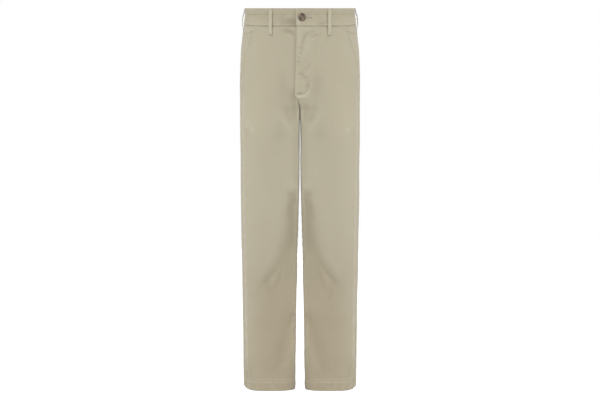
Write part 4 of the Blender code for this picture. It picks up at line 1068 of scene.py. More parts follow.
def band_skin(side, q, share, lift=0.0):
    """Outer points of a finished waistband half at length q from the seat
    seam and share of its height, before mirroring, and level normals."""
    q, share = (np.array(v, float) for v in np.broadcast_arrays(q, share))
    on_front = q > BACK_TOTAL
    face = np.where(on_front, FRONT, BACK)
    s = np.where(on_front, q - BACK_TOTAL, BACK_TOTAL - q)
    past = s - FRONT_TOTAL
    near = np.where(on_front, np.minimum(s, 2 * FRONT_TOTAL - s), s)
    low, high = seam_height(face, near) + GAP / 2, top_height(face, near)
    z = low + (high - low) * share
    w = cloth_width(face, z)
    here = np.where(on_front, np.where(past > -0.048, w + past, s * (w - 0.048) / (FRONT_TOTAL - 0.048)), s / BACK_TOTAL * (w - GAP / 2))
    p, _lies = surface(face, here, z)
    n = normal(face, here, z)
    n[..., 2] = 0.0
    n /= np.linalg.norm(n, axis=-1, keepdims=True)
    if side == "left":
        step = BAND_LAP_RISE * smooth((past + 0.046) / 0.014)
    else:
        step = -BAND_LAP_RISE * smooth((past + 0.024) / 0.012)
    step = np.where(on_front, step, 0.0)

    tall = high - low
    d_top, d_low = (1 - share) * tall, share * tall
    x = p[..., 0] * (1.0 if side == "left" else -1.0)          # as seen
    seed = 0.3 if side == "left" else 4.1
    a = q + (0.0 if side == "left" else 0.53)
    rise = 0.00034 * cloudy(a, z, 0.060, 5) + 0.00018 * cloudy(a, z, 0.021, 12)
    # Edges folded in, stitched close to both, and a stitched line below the top.
    rise = rise + tuck(d_top, 0.0016, 0.0013) + tuck(d_low, 0.0014, 0.0015)
    rise = rise - 0.00020 * np.exp(-(((d_low - 0.0024) / 0.0010) ** 2)) - 0.00016 * np.exp(-(((d_top - 0.0022) / 0.0010) ** 2))
    rise = rise + 0.00050 * np.exp(-(((d_low - 0.0040) / 0.0016) ** 2))
    rise = rise - 0.00042 * np.exp(-(((d_top - 0.0172) / 0.0011) ** 2))
    rise = rise + 0.00022 * np.exp(-(((d_top - 0.0148) / 0.0018) ** 2))
    rise = rise + 0.00024 * pucker(a, 0.0122, seed) * np.exp(-((d_low / 0.012) ** 2))
    rise = rise + 0.00016 * pucker(a, 0.0102, seed + 1) * np.exp(-(((d_top - 0.0165) / 0.006) ** 2))
    seen = np.where(on_front, 1.0, 0.0)
    # Pressed hollow under that line towards the sides.
    rise = rise - seen * 0.00085 * np.exp(-(((np.abs(x) - 0.121) / 0.030) ** 2)) * np.exp(-(((d_top - 0.0215) / 0.0055) ** 2))
    if side == "right":
        for centre, height in ((-0.0560, -0.0003), (-0.0500, 0.0003), (-0.0440, -0.0004), (-0.0385, 0.0003), (-0.0325, -0.0004), (-0.0262, 0.0003)):
            rise = rise + seen * height * np.exp(-(((x - centre) / 0.0026) ** 2)) * smooth(d_top / 0.012)
        rise = rise + seen * (soft_line(x, z, 0.0026, -0.0012, (-0.0385, -0.0455), (-0.0290, -0.0395), (-0.0190, -0.0325))
                              + soft_line(x, z, 0.0022, 0.0008, (-0.0350, -0.0400), (-0.0260, -0.0335), (-0.0180, -0.0280))
                              + soft_line(x, z, 0.0022, -0.0008, (-0.0300, -0.0475), (-0.0200, -0.0440)))
        end = BACK_TOTAL + FRONT_TOTAL + BAND_UNDER - q
    else:
        end = BACK_TOTAL + FRONT_TOTAL + BAND_LAP - q
        rise = rise + tuck(end, 0.0014, 0.0012)
        # Cloth drawn to the buttonhole, and its slit between raised lips.
        inside = smooth((x - HOLE_FROM) / 0.003) * smooth((HOLE_TO + 0.0012 - x) / 0.002)
        off = z - HOLE_Z
        rise = rise + seen * inside * (0.00075 * np.exp(-(((np.abs(off) - 0.0017) / 0.0011) ** 2)) - 0.0009 * np.exp(-((off / 0.00055) ** 2)))
        rise = rise + seen * (soft_line(x, z, 0.0028, 0.0007, (0.0140, -0.0250), (0.0240, -0.0235), (0.0360, -0.0265))
                              + soft_line(x, z, 0.0028, -0.0009, (0.0180, -0.0385), (0.0290, -0.0395), (0.0400, -0.0370))
                              + soft_line(x, z, 0.0022, -0.0006, (-0.0040, -0.0420), (0.0040, -0.0440), (0.0130, -0.0420))
                              + soft_line(x, z, 0.0026, -0.0006, (0.0400, -0.0330), (0.0480, -0.0345), (0.0580, -0.0330)))
        rise = rise - seen * 0.00022 * np.exp(-(((x - 0.0316) / 0.0009) ** 2)) * smooth((-0.0345 - z) / 0.002)
    seat = tuck(q - GAP / 2, 0.0012, 0.0010)
    rise = rise + seat
    return p + n * (BAND_PROUD + step + rise + lift)[..., None], n


def band_mesh(side):
    past = BAND_LAP if side == "left" else BAND_UNDER
    end = CLOSING + past
    marks = [GAP / 2 + d for d in (0.0, 0.0003, 0.0007, 0.0012, 0.0020)]
    marks += list(np.arange(0.0036, BACK_TOTAL + 0.10, 0.0019))
    marks += list(np.arange(marks[-1] + 0.0016, CLOSING - 0.062, 0.0016))
    marks += list(np.arange(marks[-1] + 0.0011, end - 0.0021, 0.0011))
    marks += [end - d for d in (0.0019, 0.0014, 0.0010, 0.0006, 0.0003, 0.0)]
    if side == "left":
        marks = [-0.0040, -0.0007] + marks
    q = np.array(marks)
    rows = np.concatenate((np.linspace(0, 0.024, 5), np.linspace(0.036, 0.30, 15), np.linspace(0.315, 0.50, 18), np.linspace(0.52, 0.955, 24), np.linspace(0.965, 1.0, 6)))
    p, n = band_skin(side, q[None, :], rows[:, None])
    p = p - n * (0.00150 * (q < 0))[None, :, None]
    wall = np.where(q < 0, TURNED_WALL, 0.0020 - 0.0006 * smooth((q - CLOSING + 0.052) / 0.018))
    wall = np.broadcast_to(wall[None, :], p.shape[:2])
    tall = 0.0455
    uv = np.stack(np.broadcast_arrays(q[None, :] * 1.0, (rows * tall)[:, None]), -1)
    mottled = 0.6 + 0.4 * cloudy(q[None, :], (rows * tall)[:, None], 0.012, 3)
    # Rubbed edges, and a painted highlight along the ridge over the seam.
    edge = np.maximum(np.exp(-rows[:, None] * tall / 0.0018) * 0.6, np.exp(-(1 - rows[:, None]) * tall / 0.0022) * 0.8)
    edge = np.maximum(edge, np.exp(-(end - q[None, :]) / 0.0022) * 0.9)
    edge = np.maximum(edge, 0.8 * np.exp(-(((rows[:, None] * tall - 0.0040) / 0.0014) ** 2)))
    d_top = (1 - rows[:, None]) * tall
    cloud = np.exp(-(((d_top - 0.0220) / 0.0075) ** 2)) * (0.75 + 0.35 * cloudy(q[None, :], d_top * 0.6, 0.045, 14))
    x = np.abs(p[..., 0])
    on_front = q[None, :] > BACK_TOTAL
    # Painted shade: darker above the stitched line, in its groove, in the hollow below it, along the seam at the
    # bottom, in the tucks by the closing and beside the front loop.
    upper = smooth((0.0175 - d_top) / 0.004)
    shade = 0.24 + 0.18 * upper + 0.22 * cloud
    shade = shade + 0.85 * np.exp(-(((d_top - 0.0162) / 0.0013) ** 2)) * (0.7 + 0.4 * cloudy(q[None, :], d_top, 0.030, 4))
    shade = shade + (1.15 + 1.0 * np.exp(-((x / 0.075) ** 2))) * np.exp(-((rows[:, None] * tall / 0.0017) ** 2)) * (0.80 + 0.35 * cloudy(q[None, :], 0 * d_top, 0.060, 6))
    if side == "right":
        low = smooth((0.026 - rows[:, None] * tall) / 0.014) * on_front
        shade = shade + 0.75 * low * np.exp(-(((x - 0.018) / 0.016) ** 2)) + 0.42 * low * smooth((0.070 - x) / 0.03)
    else:
        # Paler by the closing: a painted highlight on the band's rounded end and its corner, and a paler place beside
        # it.
        pale = np.exp(-(((p[..., 0] - 0.016) / 0.020) ** 2)) * on_front
        edge = np.maximum(edge, 0.45 * pale * smooth((0.034 - rows[:, None] * tall) / 0.010))
        shade = shade + 0.65 * on_front * np.exp(-(((x - 0.058) / 0.013) ** 2)) * smooth((0.013 - rows[:, None] * tall) / 0.005)
        edge = np.maximum(edge, 1.1 * np.exp(-(((end - q[None, :] - 0.0022) / 0.0022) ** 2)))
        corner = on_front * np.exp(-(((p[..., 0] + 0.0045) / 0.0075) ** 2)) * np.exp(-(((rows[:, None] * tall - 0.0120) / 0.0110) ** 2))
        edge = np.maximum(edge, 2.2 * corner)
        shade = shade * (1 - 0.9 * np.clip(corner, 0, 1))
    return sheet_mesh(f"cloth_waistband_{side}", p, n, wall, uv, {"wear_and_highlight": np.clip(edge * mottled, 0, 1.6), "deep_and_shaded": 0.12 + 0 * shade, "shade": np.clip(shade, 0, 2.4)}, flip_x=(side == "right"))


# ============================================================ pocket facings
def facing_mesh(side):
    zs = [TOP_Z]
    while zs[-1] > POCKET_FOOT_Z - 0.0125:
        zs.append(zs[-1] - 0.0024)
    zs = np.concatenate((TOP_Z + np.array(TURNED_UP), zs))
    seam = read(SEAMS, "side", zs)
    lip = mouth(zs)
    end = lip + 0.020
    t = np.concatenate(((0.0, 0.0003, 0.0008, 0.0015), ))
    cols = [seam + GAP / 2 + d for d in t]
    wide = np.linspace(0, 1, 27)[1:]
    cols += [seam + 0.0015 + (end - seam - 0.0015) * k for k in wide]
    s = np.stack(cols, 1)
    z = np.repeat(zs[:, None], s.shape[1], 1)
    dip = (0.0013 + GAP) * smooth((s - (lip[:, None] - 0.010)) / 0.008)
    s_real, z_real = follow_waist(FRONT, s, z)
    p, lies = surface(FRONT, s_real, z_real)
    n = normal(FRONT, s_real, z_real)
    d_side = s - seam[:, None]
    seed = 0.6 if side == "left" else 2.9
    rise = (0.00070 + 0.00016 * pucker(z, 0.017, seed)) * smooth((0.0120 - d_side) / 0.0040) + tuck(d_side - GAP / 2)
    rise = rise * smooth((lip[:, None] - s) / 0.006 + 0.3)
    rise = rise + 0.00040 * cloudy(s + (0.0 if side == "left" else 0.37), z * 0.45, 0.085)
    rise = np.where(z > TOP_Z, BAND_PROUD - 0.0012, rise)
    out = p + n * (rise - dip)[..., None]
    uv = np.stack((s, z_real), -1)
    wear_and_highlight = np.clip(np.exp(-np.clip(d_side, 0, 1) / 0.003) * 0.8, 0, 1)
    # Painted shadow on the facing by the pocket mouth and under the waistband, and a dark dash across it.
    shade = 0.95 * np.exp(-((np.clip(lip[:, None] - s, 0, 1) / 0.0042) ** 2))
    shade = shade + 1.25 * np.exp(-((np.clip(TOP_Z - z, 0, 1) / 0.0023) ** 2))
    shade = shade + 0.75 * np.exp(-(((z_real + 0.0600 - 0.0035 * cloudy(s, z * 0, 0.050, 5)) / 0.0024) ** 2))
    return sheet_mesh(f"cloth_pocket_facing_{side}", out, n, CLOTH, uv, {"wear_and_highlight": wear_and_highlight, "shade": shade}, flip_x=(side == "right"))


# =============================================================== belt loops
LOOP_PATH = {
    "share": (0.00, 0.05, 0.13, 0.22, 0.30, 0.38, 0.48, 0.58, 0.66, 0.74, 0.82, 0.90, 1.00),
    "out":   (0.04, 0.22, 0.56, 0.82, 0.95, 0.99, 1.00, 0.95, 0.86, 0.70, 0.46, 0.20, 0.04),
    "side":  (0.04, 0.10, 0.28, 0.58, 0.82, 0.95, 1.00, 0.90, 0.70, 0.43, 0.19, 0.07, 0.04),
}


def length_at_x(face, x, z):
    q = np.linspace(0, 1, 1201)
    out = []
    for level in np.atleast_1d(z):
        px = look_up(np.full(q.shape, face), q, np.full(q.shape, level))[0]
        out.append(float(np.interp(-x, -px, q * float(cloth_width(face, level)))))
    return np.array(out)


def loop_frame(face, x):
    """Outer middle line of a loop: points, level normal, share and height."""
    s0 = length_at_x(face, x, TOP_Z)[0]
    seam = float(seam_height(face, s0))
    top, foot = float(top_height(face, s0)) - 0.0004, seam - LOOP_BELOW
    n = normal(face, np.array([s0]), np.array([TOP_Z]))[0]
    n = np.array((n[0], n[1], 0.0)) if x > 0 else np.array((0.0, 1.0, 0.0))
    n /= np.linalg.norm(n)
    at_side = x > float(read(OUTLINE, "side", TOP_Z))
    share = np.linspace(0, 1, 64)
    path = {"z": [-v for v in LOOP_PATH["share"]], "v": LOOP_PATH["side" if at_side else "out"]}
    out = read(path, "v", -share)
    z = top + (foot - top) * share
    proud = BAND_PROUD * smooth((z - seam + 0.006) / 0.006) + 0.0002
    s = length_at_x(face, x, z)
    p = surface(face, s, z)[0]
    bow = 0.78 * LOOP_SIDE_BOW if at_side else 0.14 * LOOP_BOW
    return p + n * (proud + LOOP_SKIN + out * bow)[:, None], n, share, z


def loop_mesh(name, face, x, flip, seed):
    line, n, share, z = loop_frame(face, x)
    across = np.array((-n[1], n[0], 0.0))
    # Across the strip: its two folded edges are round, and two rows of
    # stitches press shallow grooves.
    w = LOOP_WIDTH / 2
    place = np.array((-1.0, -0.985, -0.94, -0.86, -0.72, -0.60, -0.52, -0.44, -0.28, 0.0, 0.28, 0.44, 0.52, 0.60, 0.72, 0.86, 0.94, 0.985, 1.0)) * w
    edge = np.clip((np.abs(place) - (w - 0.0008)) / 0.0008, 0, 1)
    fall = 0.0005 * (1 - np.sqrt(1 - edge ** 2))
    groove = 0.00022 * np.exp(-(((np.abs(place) - 0.52 * w) / 0.0005) ** 2))
    along = (1 - share) * 0.07
    wave = 0.00018 * np.sin(along[:, None] / 0.0105 * 6.28 + seed + place[None, :] * 160)
    twist = 0.00030 * np.sin(share * 3.1 + seed)[:, None] * place[None, :] / w
    p = line[:, None, :] + across * (place[None, :, None] + 0.00022 * np.sin(share * 9 + seed)[:, None, None])
    p = p + n * (-fall - groove + wave * smooth(share * (1 - share) * 12)[:, None] + twist)[..., None]
    # Ends folded under: the last millimetres turn down on themselves.
    turn = np.clip((share - 0.985) / 0.015, 0, 1) + np.clip((0.012 - share) / 0.012, 0, 1)
    p = p - n * (0.0007 * turn ** 2)[:, None, None]
    uv = np.stack(np.broadcast_arrays(place[None, :] + 0.05 * seed, z[:, None]), -1)
    # Paler overall, partly rubbed and partly a painted highlight on the raised strip.
    wear_and_highlight = np.clip(0.62 + 0.35 * edge[None, :] + 0.25 * cloudy(along[:, None], place[None, :], 0.010, 2), 0, 1)
    # Painted shade at the stitched-down ends and along both edges of the strip.
    margin = smooth((np.abs(place) / w - 0.50) / 0.34) * np.where(place < 0, 0.45, 0.80)
    shade = 1.3 * (smooth((share - 0.920) / 0.03) + 0.4 * smooth((0.03 - share) / 0.02))[:, None] + 0.62 * margin[None, :]
    wear_and_highlight = wear_and_highlight * (1 - 0.8 * smooth((share - 0.905) / 0.03))[:, None] * (1 - 0.75 * margin)[None, :]
    out = np.broadcast_to(n, p.shape)
    return sheet_mesh(name, p, out, LOOP_SKIN - 0.0001, uv, {"wear_and_highlight": wear_and_highlight, "shade": shade}, flip_x=flip)


# ================================================================= stitches
def stitch_template():
    """A stitch: a short thread, thin where it dives into the cloth."""
    t = np.array((-0.5, -0.36, 0.0, 0.36, 0.5))
    size = np.array((0.25, 0.85, 1.0, 0.85, 0.25))
    up = np.array((-0.9, 0.35, 0.75, 0.35, -0.9))
    a = np.arange(6) / 6 * 2 * math.pi
    ring_pts = [(tt, sz * math.cos(w), u + sz * math.sin(w) * 0.8) for tt, sz, u in zip(t, size, up) for w in a]
    faces = []
    for r in range(4):
        for k in range(6):
            i, j = r * 6 + k, r * 6 + (k + 1) % 6
            faces.append((i, j, j + 6, i + 6))
    for k in range(1, 5):
        faces.append((0, k + 1, k, -1))
        faces.append((24, 24 + k, 24 + k + 1, -1))
    return np.array(ring_pts), np.array(faces)


STITCH, STITCH_FACES = stitch_template()


class Sewing:
    """Collects stitches and makes one mesh of them."""

    def __init__(self, name):
        self.name, self.verts, self.faces, self.count = name, [], [], 0

    def place(self, centre, along, up, length, radius):
        """Stitches at centres, each with its own direction and length."""
        along = along / np.linalg.norm(along, axis=-1, keepdims=True)
        across = np.cross(up, along)
        across /= np.linalg.norm(across, axis=-1, keepdims=True)
        up = np.cross(along, across)
        length = np.broadcast_to(length, centre.shape[:1])
        t, u, v = STITCH[:, 0], STITCH[:, 1] * radius, STITCH[:, 2] * radius
        pts = (centre[:, None, :] + along[:, None, :] * (t[None, :, None] * length[:, None, None])
               + across[:, None, :] * u[None, :, None] + up[:, None, :] * v[None, :, None])
        count = len(centre)
        faces = STITCH_FACES[None] + (self.count + np.arange(count) * len(STITCH))[:, None, None]
        faces = np.where(STITCH_FACES[None] < 0, -1, faces)
        self.verts.append(pts.reshape(-1, 3))
        self.faces.append(faces.reshape(-1, 4))
        self.count += count * len(STITCH)

    def row(self, points, normals, pitch=0.0030, radius=0.00024, fill=0.80, flip=False, slant=0.06):
        """A row of stitches along a path of points."""
        if flip:
            points, normals = points * (-1, 1, 1), normals * (-1, 1, 1)
        step = np.linalg.norm(np.diff(points, axis=0), axis=1)
        upto = np.concatenate(((0.0,), np.cumsum(step)))
        count = int(upto[-1] / pitch)
        if count < 1:
            return
        d = (np.arange(count) + 0.5) * upto[-1] / count
        centre = np.stack([np.interp(d, upto, points[:, k]) for k in range(3)], 1)
        ahead = np.stack([np.interp(d + pitch * 0.4, upto, points[:, k]) - np.interp(d - pitch * 0.4, upto, points[:, k]) for k in range(3)], 1)
        up = np.stack([np.interp(d, upto, normals[:, k]) for k in range(3)], 1)
        up /= np.linalg.norm(up, axis=1, keepdims=True)
        ahead /= np.linalg.norm(ahead, axis=1, keepdims=True)
        ahead = ahead + np.cross(up, ahead) * slant
        self.place(centre, ahead, up, upto[-1] / count * fill, radius)

    def bartack(self, start, stop, up, width=0.0018, pitch=0.00050, radius=0.00025):
        """A satin bar: close stitches laid across a short line."""
        start, stop, up = (np.asarray(v, float) for v in (start, stop, up))
        along = stop - start
        count = max(int(np.linalg.norm(along) / pitch), 2)
        t = (np.arange(count) + 0.5) / count
        centre = start + along * t[:, None]
        up = np.broadcast_to(up / np.linalg.norm(up), centre.shape)
        cross = np.cross(up, along / np.linalg.norm(along)) + along / np.linalg.norm(along) * np.where(np.arange(count) % 2, 0.22, -0.22)[:, None]
        self.place(centre + up * 0.00022, cross, up, width, radius)

    def make(self, material=None):
        obj = make_mesh(self.name, np.concatenate(self.verts), np.concatenate(self.faces))
        obj.data.materials.append(material or THREAD)
        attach(obj, "root")
        return obj


def panel_path(panel, side, s, z, lift=0.00005):
    """Points and normals of a line on a finished panel, nominal places."""
    s_real, z_real = follow_waist(panel, np.asarray(s, float), np.asarray(z, float))
    p, n = skin(panel, side, s_real, z_real)
    return p + n * lift, n


def sew():
    z_leg = np.linspace(CROTCH_Z - 0.004, HEM_Z + HEM_DEPTH + 0.001, 620)
    z_seat = np.linspace(TOP_Z - 0.001, CROTCH_Z + 0.003, 240)
    for side in ("left", "right"):
        flip = side == "right"
        thread = Sewing(f"stitches_{side}")
        # Inseam, two rows on the front side.
        for row in (0.0020, 0.0088):
            thread.row(*panel_path(FRONT, side, edges(FRONT, side, z_leg)[1] - row, z_leg), flip=flip)
        # Hem.
        for panel in (FRONT, BACK):
            z = np.full(220, HEM_Z + HEM_DEPTH - 0.0022)
            first, last = edges(panel, side, z)
            s = first + 0.0006 + (last - first - 0.0012) * np.linspace(0, 1, 220)
            thread.row(*panel_path(panel, side, s, z), pitch=0.0033, flip=flip)
        # Waistband: beside both edges and one row between.
        end = CLOSING + (BAND_LAP if side == "left" else -0.0080)
        q = np.linspace(0.002, end - 0.0022, 420)
        height = 0.0455
        for d in (0.0024, height - 0.0022, height - 0.0172):
            p, n = band_skin(side, q, np.full(q.shape, d / height), 0.00004)
            thread.row(p, n, flip=flip, pitch=0.0030)
        # Pocket mouth, with a bar at each end.
        z = np.linspace(TOP_Z - 0.002, POCKET_FOOT_Z + 0.010, 110)
        lip = mouth(z)
        for row in (0.0064,):
            thread.row(*panel_path(FRONT, side, lip + row, z), flip=flip)
        for height_z, wide in ((-0.0405, 0.0120), (POCKET_FOOT_Z + 0.012, 0.0090)):
            s = mouth(np.full(8, height_z)) + np.linspace(-0.0012, wide, 8)
            p, n = panel_path(FRONT, side, s, np.full(8, height_z), 0.0002)
            if flip:
                p, n = p * (-1, 1, 1), n * (-1, 1, 1)
            thread.bartack(p[0], p[-1], n[4])
        if side == "left":
            # Seat seam, two rows.
            for row in (0.0020, 0.0088):
                thread.row(*panel_path(BACK, side, edges(BACK, side, z_seat)[1] - row, z_seat))
            # Fly, and the bar at its foot.
            zj = np.concatenate((np.linspace(TOP_Z - 0.002, -0.19, 90), np.linspace(-0.1905, -0.2362, 90)))
            off = read(J_LINE, "off", zj)
            thread.row(*panel_path(FRONT, side, cloth_width(FRONT, zj) - off, zj), pitch=0.0028)
            off = np.linspace(0.0002, -0.0128, 6)
            p, n = panel_path(FRONT, side, cloth_width(FRONT, np.full(6, -0.2330)) - off, np.full(6, -0.2330), 0.0002)
            thread.bartack(p[0], p[-1], n[3], 0.0022)
            # Waistband end: a short upright row beside the buttonhole.
            share = np.linspace(0.06, 0.36, 30)
            p, n = band_skin(side, np.full(30, CLOSING - 0.0318), share, 0.00004)
            thread.row(p, n)
            # Buttonhole: close stitches round the slit.
            t = np.linspace(0, 1, 46)
            for way in (1, -1):
                x = HOLE_FROM + (HOLE_TO - HOLE_FROM) * t
                z_at = np.full(46, HOLE_Z + way * 0.0014)
                low, high = seam_height(FRONT, FRONT_TOTAL - x) + GAP / 2, top_height(FRONT, FRONT_TOTAL - x)
                p, n = band_skin(side, CLOSING - x, (z_at - low) / (high - low), 0.0001)
                thread.place(p, np.tile((0.12, 0.0, 1.0), (46, 1)), n, 0.0018, 0.00026)
            low, high = seam_height(FRONT, FRONT_TOTAL - HOLE_TO), top_height(FRONT, FRONT_TOTAL - HOLE_TO)
            z_at = HOLE_Z + np.array((-0.0022, 0.0022))
            p, n = band_skin(side, np.full(2, CLOSING - HOLE_TO - 0.0008), (z_at - low) / (high - low), 0.0001)
            thread.bartack(p[0], p[1], n[0], 0.0016)
        thread.make()

    thread = Sewing("stitches_loops")
    for face, x, flips in ((FRONT, LOOP_FRONT_X, (False, True)), (BACK, 1.0, (False, True)), (BACK, 0.0, (False,))):
        line, n, share, z = loop_frame(face, x)
        across = np.array((-n[1], n[0], 0.0))
        for flip in flips:
            for way in (-1, 1):
                path = line[1:-1] + across * way * 0.52 * LOOP_WIDTH / 2 - n * 0.00012
                thread.row(path, np.broadcast_to(n, path.shape), pitch=0.0028, radius=0.00022, flip=flip)
            for k, wide, drop in ((61, 0.0062, 0.0001), (2, 0.0052, 0.0001)):
                a, b = line[k] - across * wide + n * drop, line[k] + across * wide + n * drop
                up = n
                if flip:
                    a, b, up = a * (-1, 1, 1), b * (-1, 1, 1), n * (-1, 1, 1)
                thread.bartack(a, b, up, 0.0020)
    thread.make()


# =================================================================== button
def button_mesh():
    """Turned disc with a raised rim, a dished middle and four holes, sewn on
    with crossed threads."""
    s = float(cloth_width(FRONT, BUTTON_Z)) - BUTTON_X + 0.0004
    p = surface(FRONT, np.array([s]), np.array([BUTTON_Z]))[0][0]
    n = normal(FRONT, np.array([s]), np.array([BUTTON_Z]))[0]
    n = Vector((n[0], n[1], 0.0)).normalized()
    reach = BUTTON_R * math.sin(BUTTON_TURN)
    seat = BAND_PROUD + BAND_LAP_RISE + GAP + 0.0006 + reach
    x_axis = Vector((0, 0, 1)).cross(n).normalized()
    basis = Matrix((x_axis, n.cross(x_axis), n)).transposed().to_4x4()
    place = Matrix.Translation(Vector(p) + n * seat) @ Matrix.Rotation(BUTTON_TURN, 4, "Z") @ basis @ Matrix.Diagonal((0.915, 1.045, 1.0, 1.0))
    r, t = BUTTON_R, BUTTON_T
    profile = [(0.0, t - 0.00125), (r * 0.22, t - 0.00125), (r * 0.40, t - 0.00115), (r * 0.50, t - 0.0009), (r * 0.57, t - 0.00045), (r * 0.62, t - 0.0002),
               (r * 0.68, t - 0.00008), (r * 0.76, t), (r * 0.84, t - 0.00008), (r * 0.90, t - 0.0003), (r * 0.95, t - 0.0007), (r * 0.985, t - 0.0012), (r, t * 0.52),
               (r * 0.985, t * 0.33), (r * 0.94, t * 0.16), (r * 0.86, t * 0.04), (r * 0.78, 0.0), (0.0, 0.0)]
    turns = 72
    verts, faces = [(0.0, 0.0, profile[0][1])], []
    for radius, height in profile[1:-1]:
        for k in range(turns):
            a = 2 * math.pi * k / turns
            verts.append((radius * math.cos(a), radius * math.sin(a), height))
    verts.append((0.0, 0.0, 0.0))
    for k in range(turns):
        faces.append((0, 1 + k, 1 + (k + 1) % turns, -1))
    rings_count = len(profile) - 2
    for ring_at in range(rings_count - 1):
        for k in range(turns):
            a, b = 1 + ring_at * turns + k, 1 + ring_at * turns + (k + 1) % turns
            faces.append((a, a + turns, b + turns, b))
    last = 1 + (rings_count - 1) * turns
    for k in range(turns):
        faces.append((last + k, len(verts) - 1, last + (k + 1) % turns, -1))
    disc = make_mesh("button_disc", np.array(verts), np.array(faces))
    holes = []
    for k in range(4):
        a = math.radians(45 + 90 * k)
        ring_pts, hole_faces = [], []
        for level in (-t, 2 * t):
            for m in range(20):
                w = 2 * math.pi * m / 20
                ring_pts.append((0.0026 * math.cos(a) + 0.0011 * math.cos(w), 0.0026 * math.sin(a) + 0.0011 * math.sin(w), level))
        for m in range(20):
            hole_faces.append((m, (m + 1) % 20, 20 + (m + 1) % 20, 20 + m))
        ring_pts += [(0.0026 * math.cos(a), 0.0026 * math.sin(a), -t), (0.0026 * math.cos(a), 0.0026 * math.sin(a), 2 * t)]
        for m in range(20):
            hole_faces.append((40, (m + 1) % 20, m, -1))
            hole_faces.append((41, 20 + m, 20 + (m + 1) % 20, -1))
        holes.append(make_mesh(f"hole_{k}", np.array(ring_pts), np.array(hole_faces)))
    for hole in holes:
        cut = disc.modifiers.new("hole", "BOOLEAN")
        cut.operation, cut.solver, cut.object = "DIFFERENCE", "EXACT", hole
    bpy.context.view_layer.update()
    solid = bpy.data.meshes.new_from_object(disc.evaluated_get(bpy.context.evaluated_depsgraph_get()))
    obj = bpy.data.objects.new("button_horn", solid)
    bpy.context.scene.collection.objects.link(obj)
    for old in [disc] + holes:
        bpy.data.objects.remove(old, do_unlink=True)
    solid.polygons.foreach_set("use_smooth", np.full(len(solid.polygons), True))
    solid.set_sharp_from_angle(angle=math.radians(40))
    solid.materials.clear()
    solid.materials.append(HORN)
    xyz = np.zeros(len(solid.vertices) * 3)
    solid.vertices.foreach_get("co", xyz)
    xyz = xyz.reshape(-1, 3)
    paler_spot = 0.75 * np.exp(-(((xyz[:, 0] - 0.0022) / 0.0030) ** 2) - ((xyz[:, 1] + 0.0036) / 0.0034) ** 2)
    solid.attributes.new("paler_spot", "FLOAT", "POINT").data.foreach_set("value", paler_spot.astype(np.float32))
    darker_spots = 0.80 * np.exp(-(((xyz[:, 0] - 0.0036) / 0.0034) ** 2) - ((xyz[:, 1] - 0.0056) / 0.0026) ** 2)
    darker_spots = darker_spots + 0.65 * np.exp(-(((xyz[:, 0] + 0.0040) / 0.0026) ** 2) - ((xyz[:, 1] + 0.0056) / 0.0034) ** 2)
    solid.attributes.new("darker_spots", "FLOAT", "POINT").data.foreach_set("value", darker_spots.astype(np.float32))
    solid.transform(place)
    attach(obj, "root")
    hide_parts("button")

    # Threads: two crossed bundles on top, and the shank behind.
    thread = Sewing("button_thread")
    turn = np.array(place.to_3x3())
    at = np.array(place.translation)
    spots = [np.array((0.0026 * math.cos(math.radians(45 + 90 * k)), 0.0026 * math.sin(math.radians(45 + 90 * k)), 0.0)) for k in range(4)]
    for i, j, up in ((0, 2, t - 0.00105), (1, 3, t - 0.00065)):
        line = spots[j] - spots[i]
        side_way = np.cross((0, 0, 1), line / np.linalg.norm(line))
        for off in (-0.00050, -0.00017, 0.00017, 0.00050):
            centre = (spots[i] + spots[j]) / 2 + side_way * off + (0, 0, up)
            thread.place((turn @ centre + at)[None], (turn @ line)[None], (turn @ np.array((0, 0, 1.0)))[None], 0.0062, 0.00020)
    for k in range(9):
        a = 2 * math.pi * k / 9
        foot = np.array((0.0010 * math.cos(a), 0.0010 * math.sin(a), -0.0007))
        thread.place((turn @ foot + at)[None], (turn @ np.array((0.1, 0.0, 1.0)))[None], (turn @ np.array((math.cos(a), math.sin(a), 0.0)))[None], 0.0034, 0.00035)
    thread.make(BUTTON_THREAD)


# ==================================================================== pieces
def cloth_area(obj):
    """Half of the closed shell's surface: the cloth's one-sided area."""
    mesh = obj.data
    areas = np.zeros(len(mesh.polygons))
    mesh.polygons.foreach_get("area", areas)
    return float(areas.sum()) / 2


def finish_cloth(obj, node, flat):
    obj.data.materials.append(TWILL)
    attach(obj, "root")
    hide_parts(node)
    area = min(cloth_area(obj), flat[0] * flat[1])
    return obj


#  piece: width and length of its cut, m
CUTS = {
    "front": (0.268, 1.000), "back": (0.372, 1.035), "waistband": (0.450, 0.0460),
    "pocket_facing": (0.074, 0.164), "loop": (0.0104, 0.0740),
}

for side in ("left", "right"):
    for panel in (FRONT, BACK):
        finish_cloth(panel_mesh(panel, side), f"{NAMES[panel]}_{side}", CUTS[NAMES[panel]])
    finish_cloth(band_mesh(side), f"waistband_{side}", CUTS["waistband"])
    finish_cloth(facing_mesh(side), f"pocket_facing_{side}", CUTS["pocket_facing"])
for name, face, x, flip, seed in (
    ("loop_front_left", FRONT, LOOP_FRONT_X, False, 0.4), ("loop_front_right", FRONT, LOOP_FRONT_X, True, 2.2),
    ("loop_side_left", BACK, 1.0, False, 3.6), ("loop_side_right", BACK, 1.0, True, 5.1), ("loop_back", BACK, 0.0, False, 1.3),
):
    finish_cloth(loop_mesh("cloth_" + name, face, x, flip, seed), name, CUTS["loop"])
sew()
button_mesh()


# ============================================================ camera, studio
def area_light(name, place, aim, size, power, colour=(1, 1, 1)):
    data = bpy.data.lights.new(name, "AREA")
    data.shape = "RECTANGLE"
    data.size, data.size_y = size
    data.energy = power
    data.color = colour
    obj = bpy.data.objects.new(name, data)
    obj.location = place
    obj.rotation_mode = "QUATERNION"
    obj.rotation_quaternion = (Vector(aim) - Vector(place)).to_track_quat("-Z", "Y")
    obj.visible_camera = False
    bpy.context.scene.collection.objects.link(obj)
    return obj


SKY_LOW, SKY_HIGH = 0.06, 0.62
KEY, SIDE = 36.4, 19.4
FLOOR_GLOW = 0.75


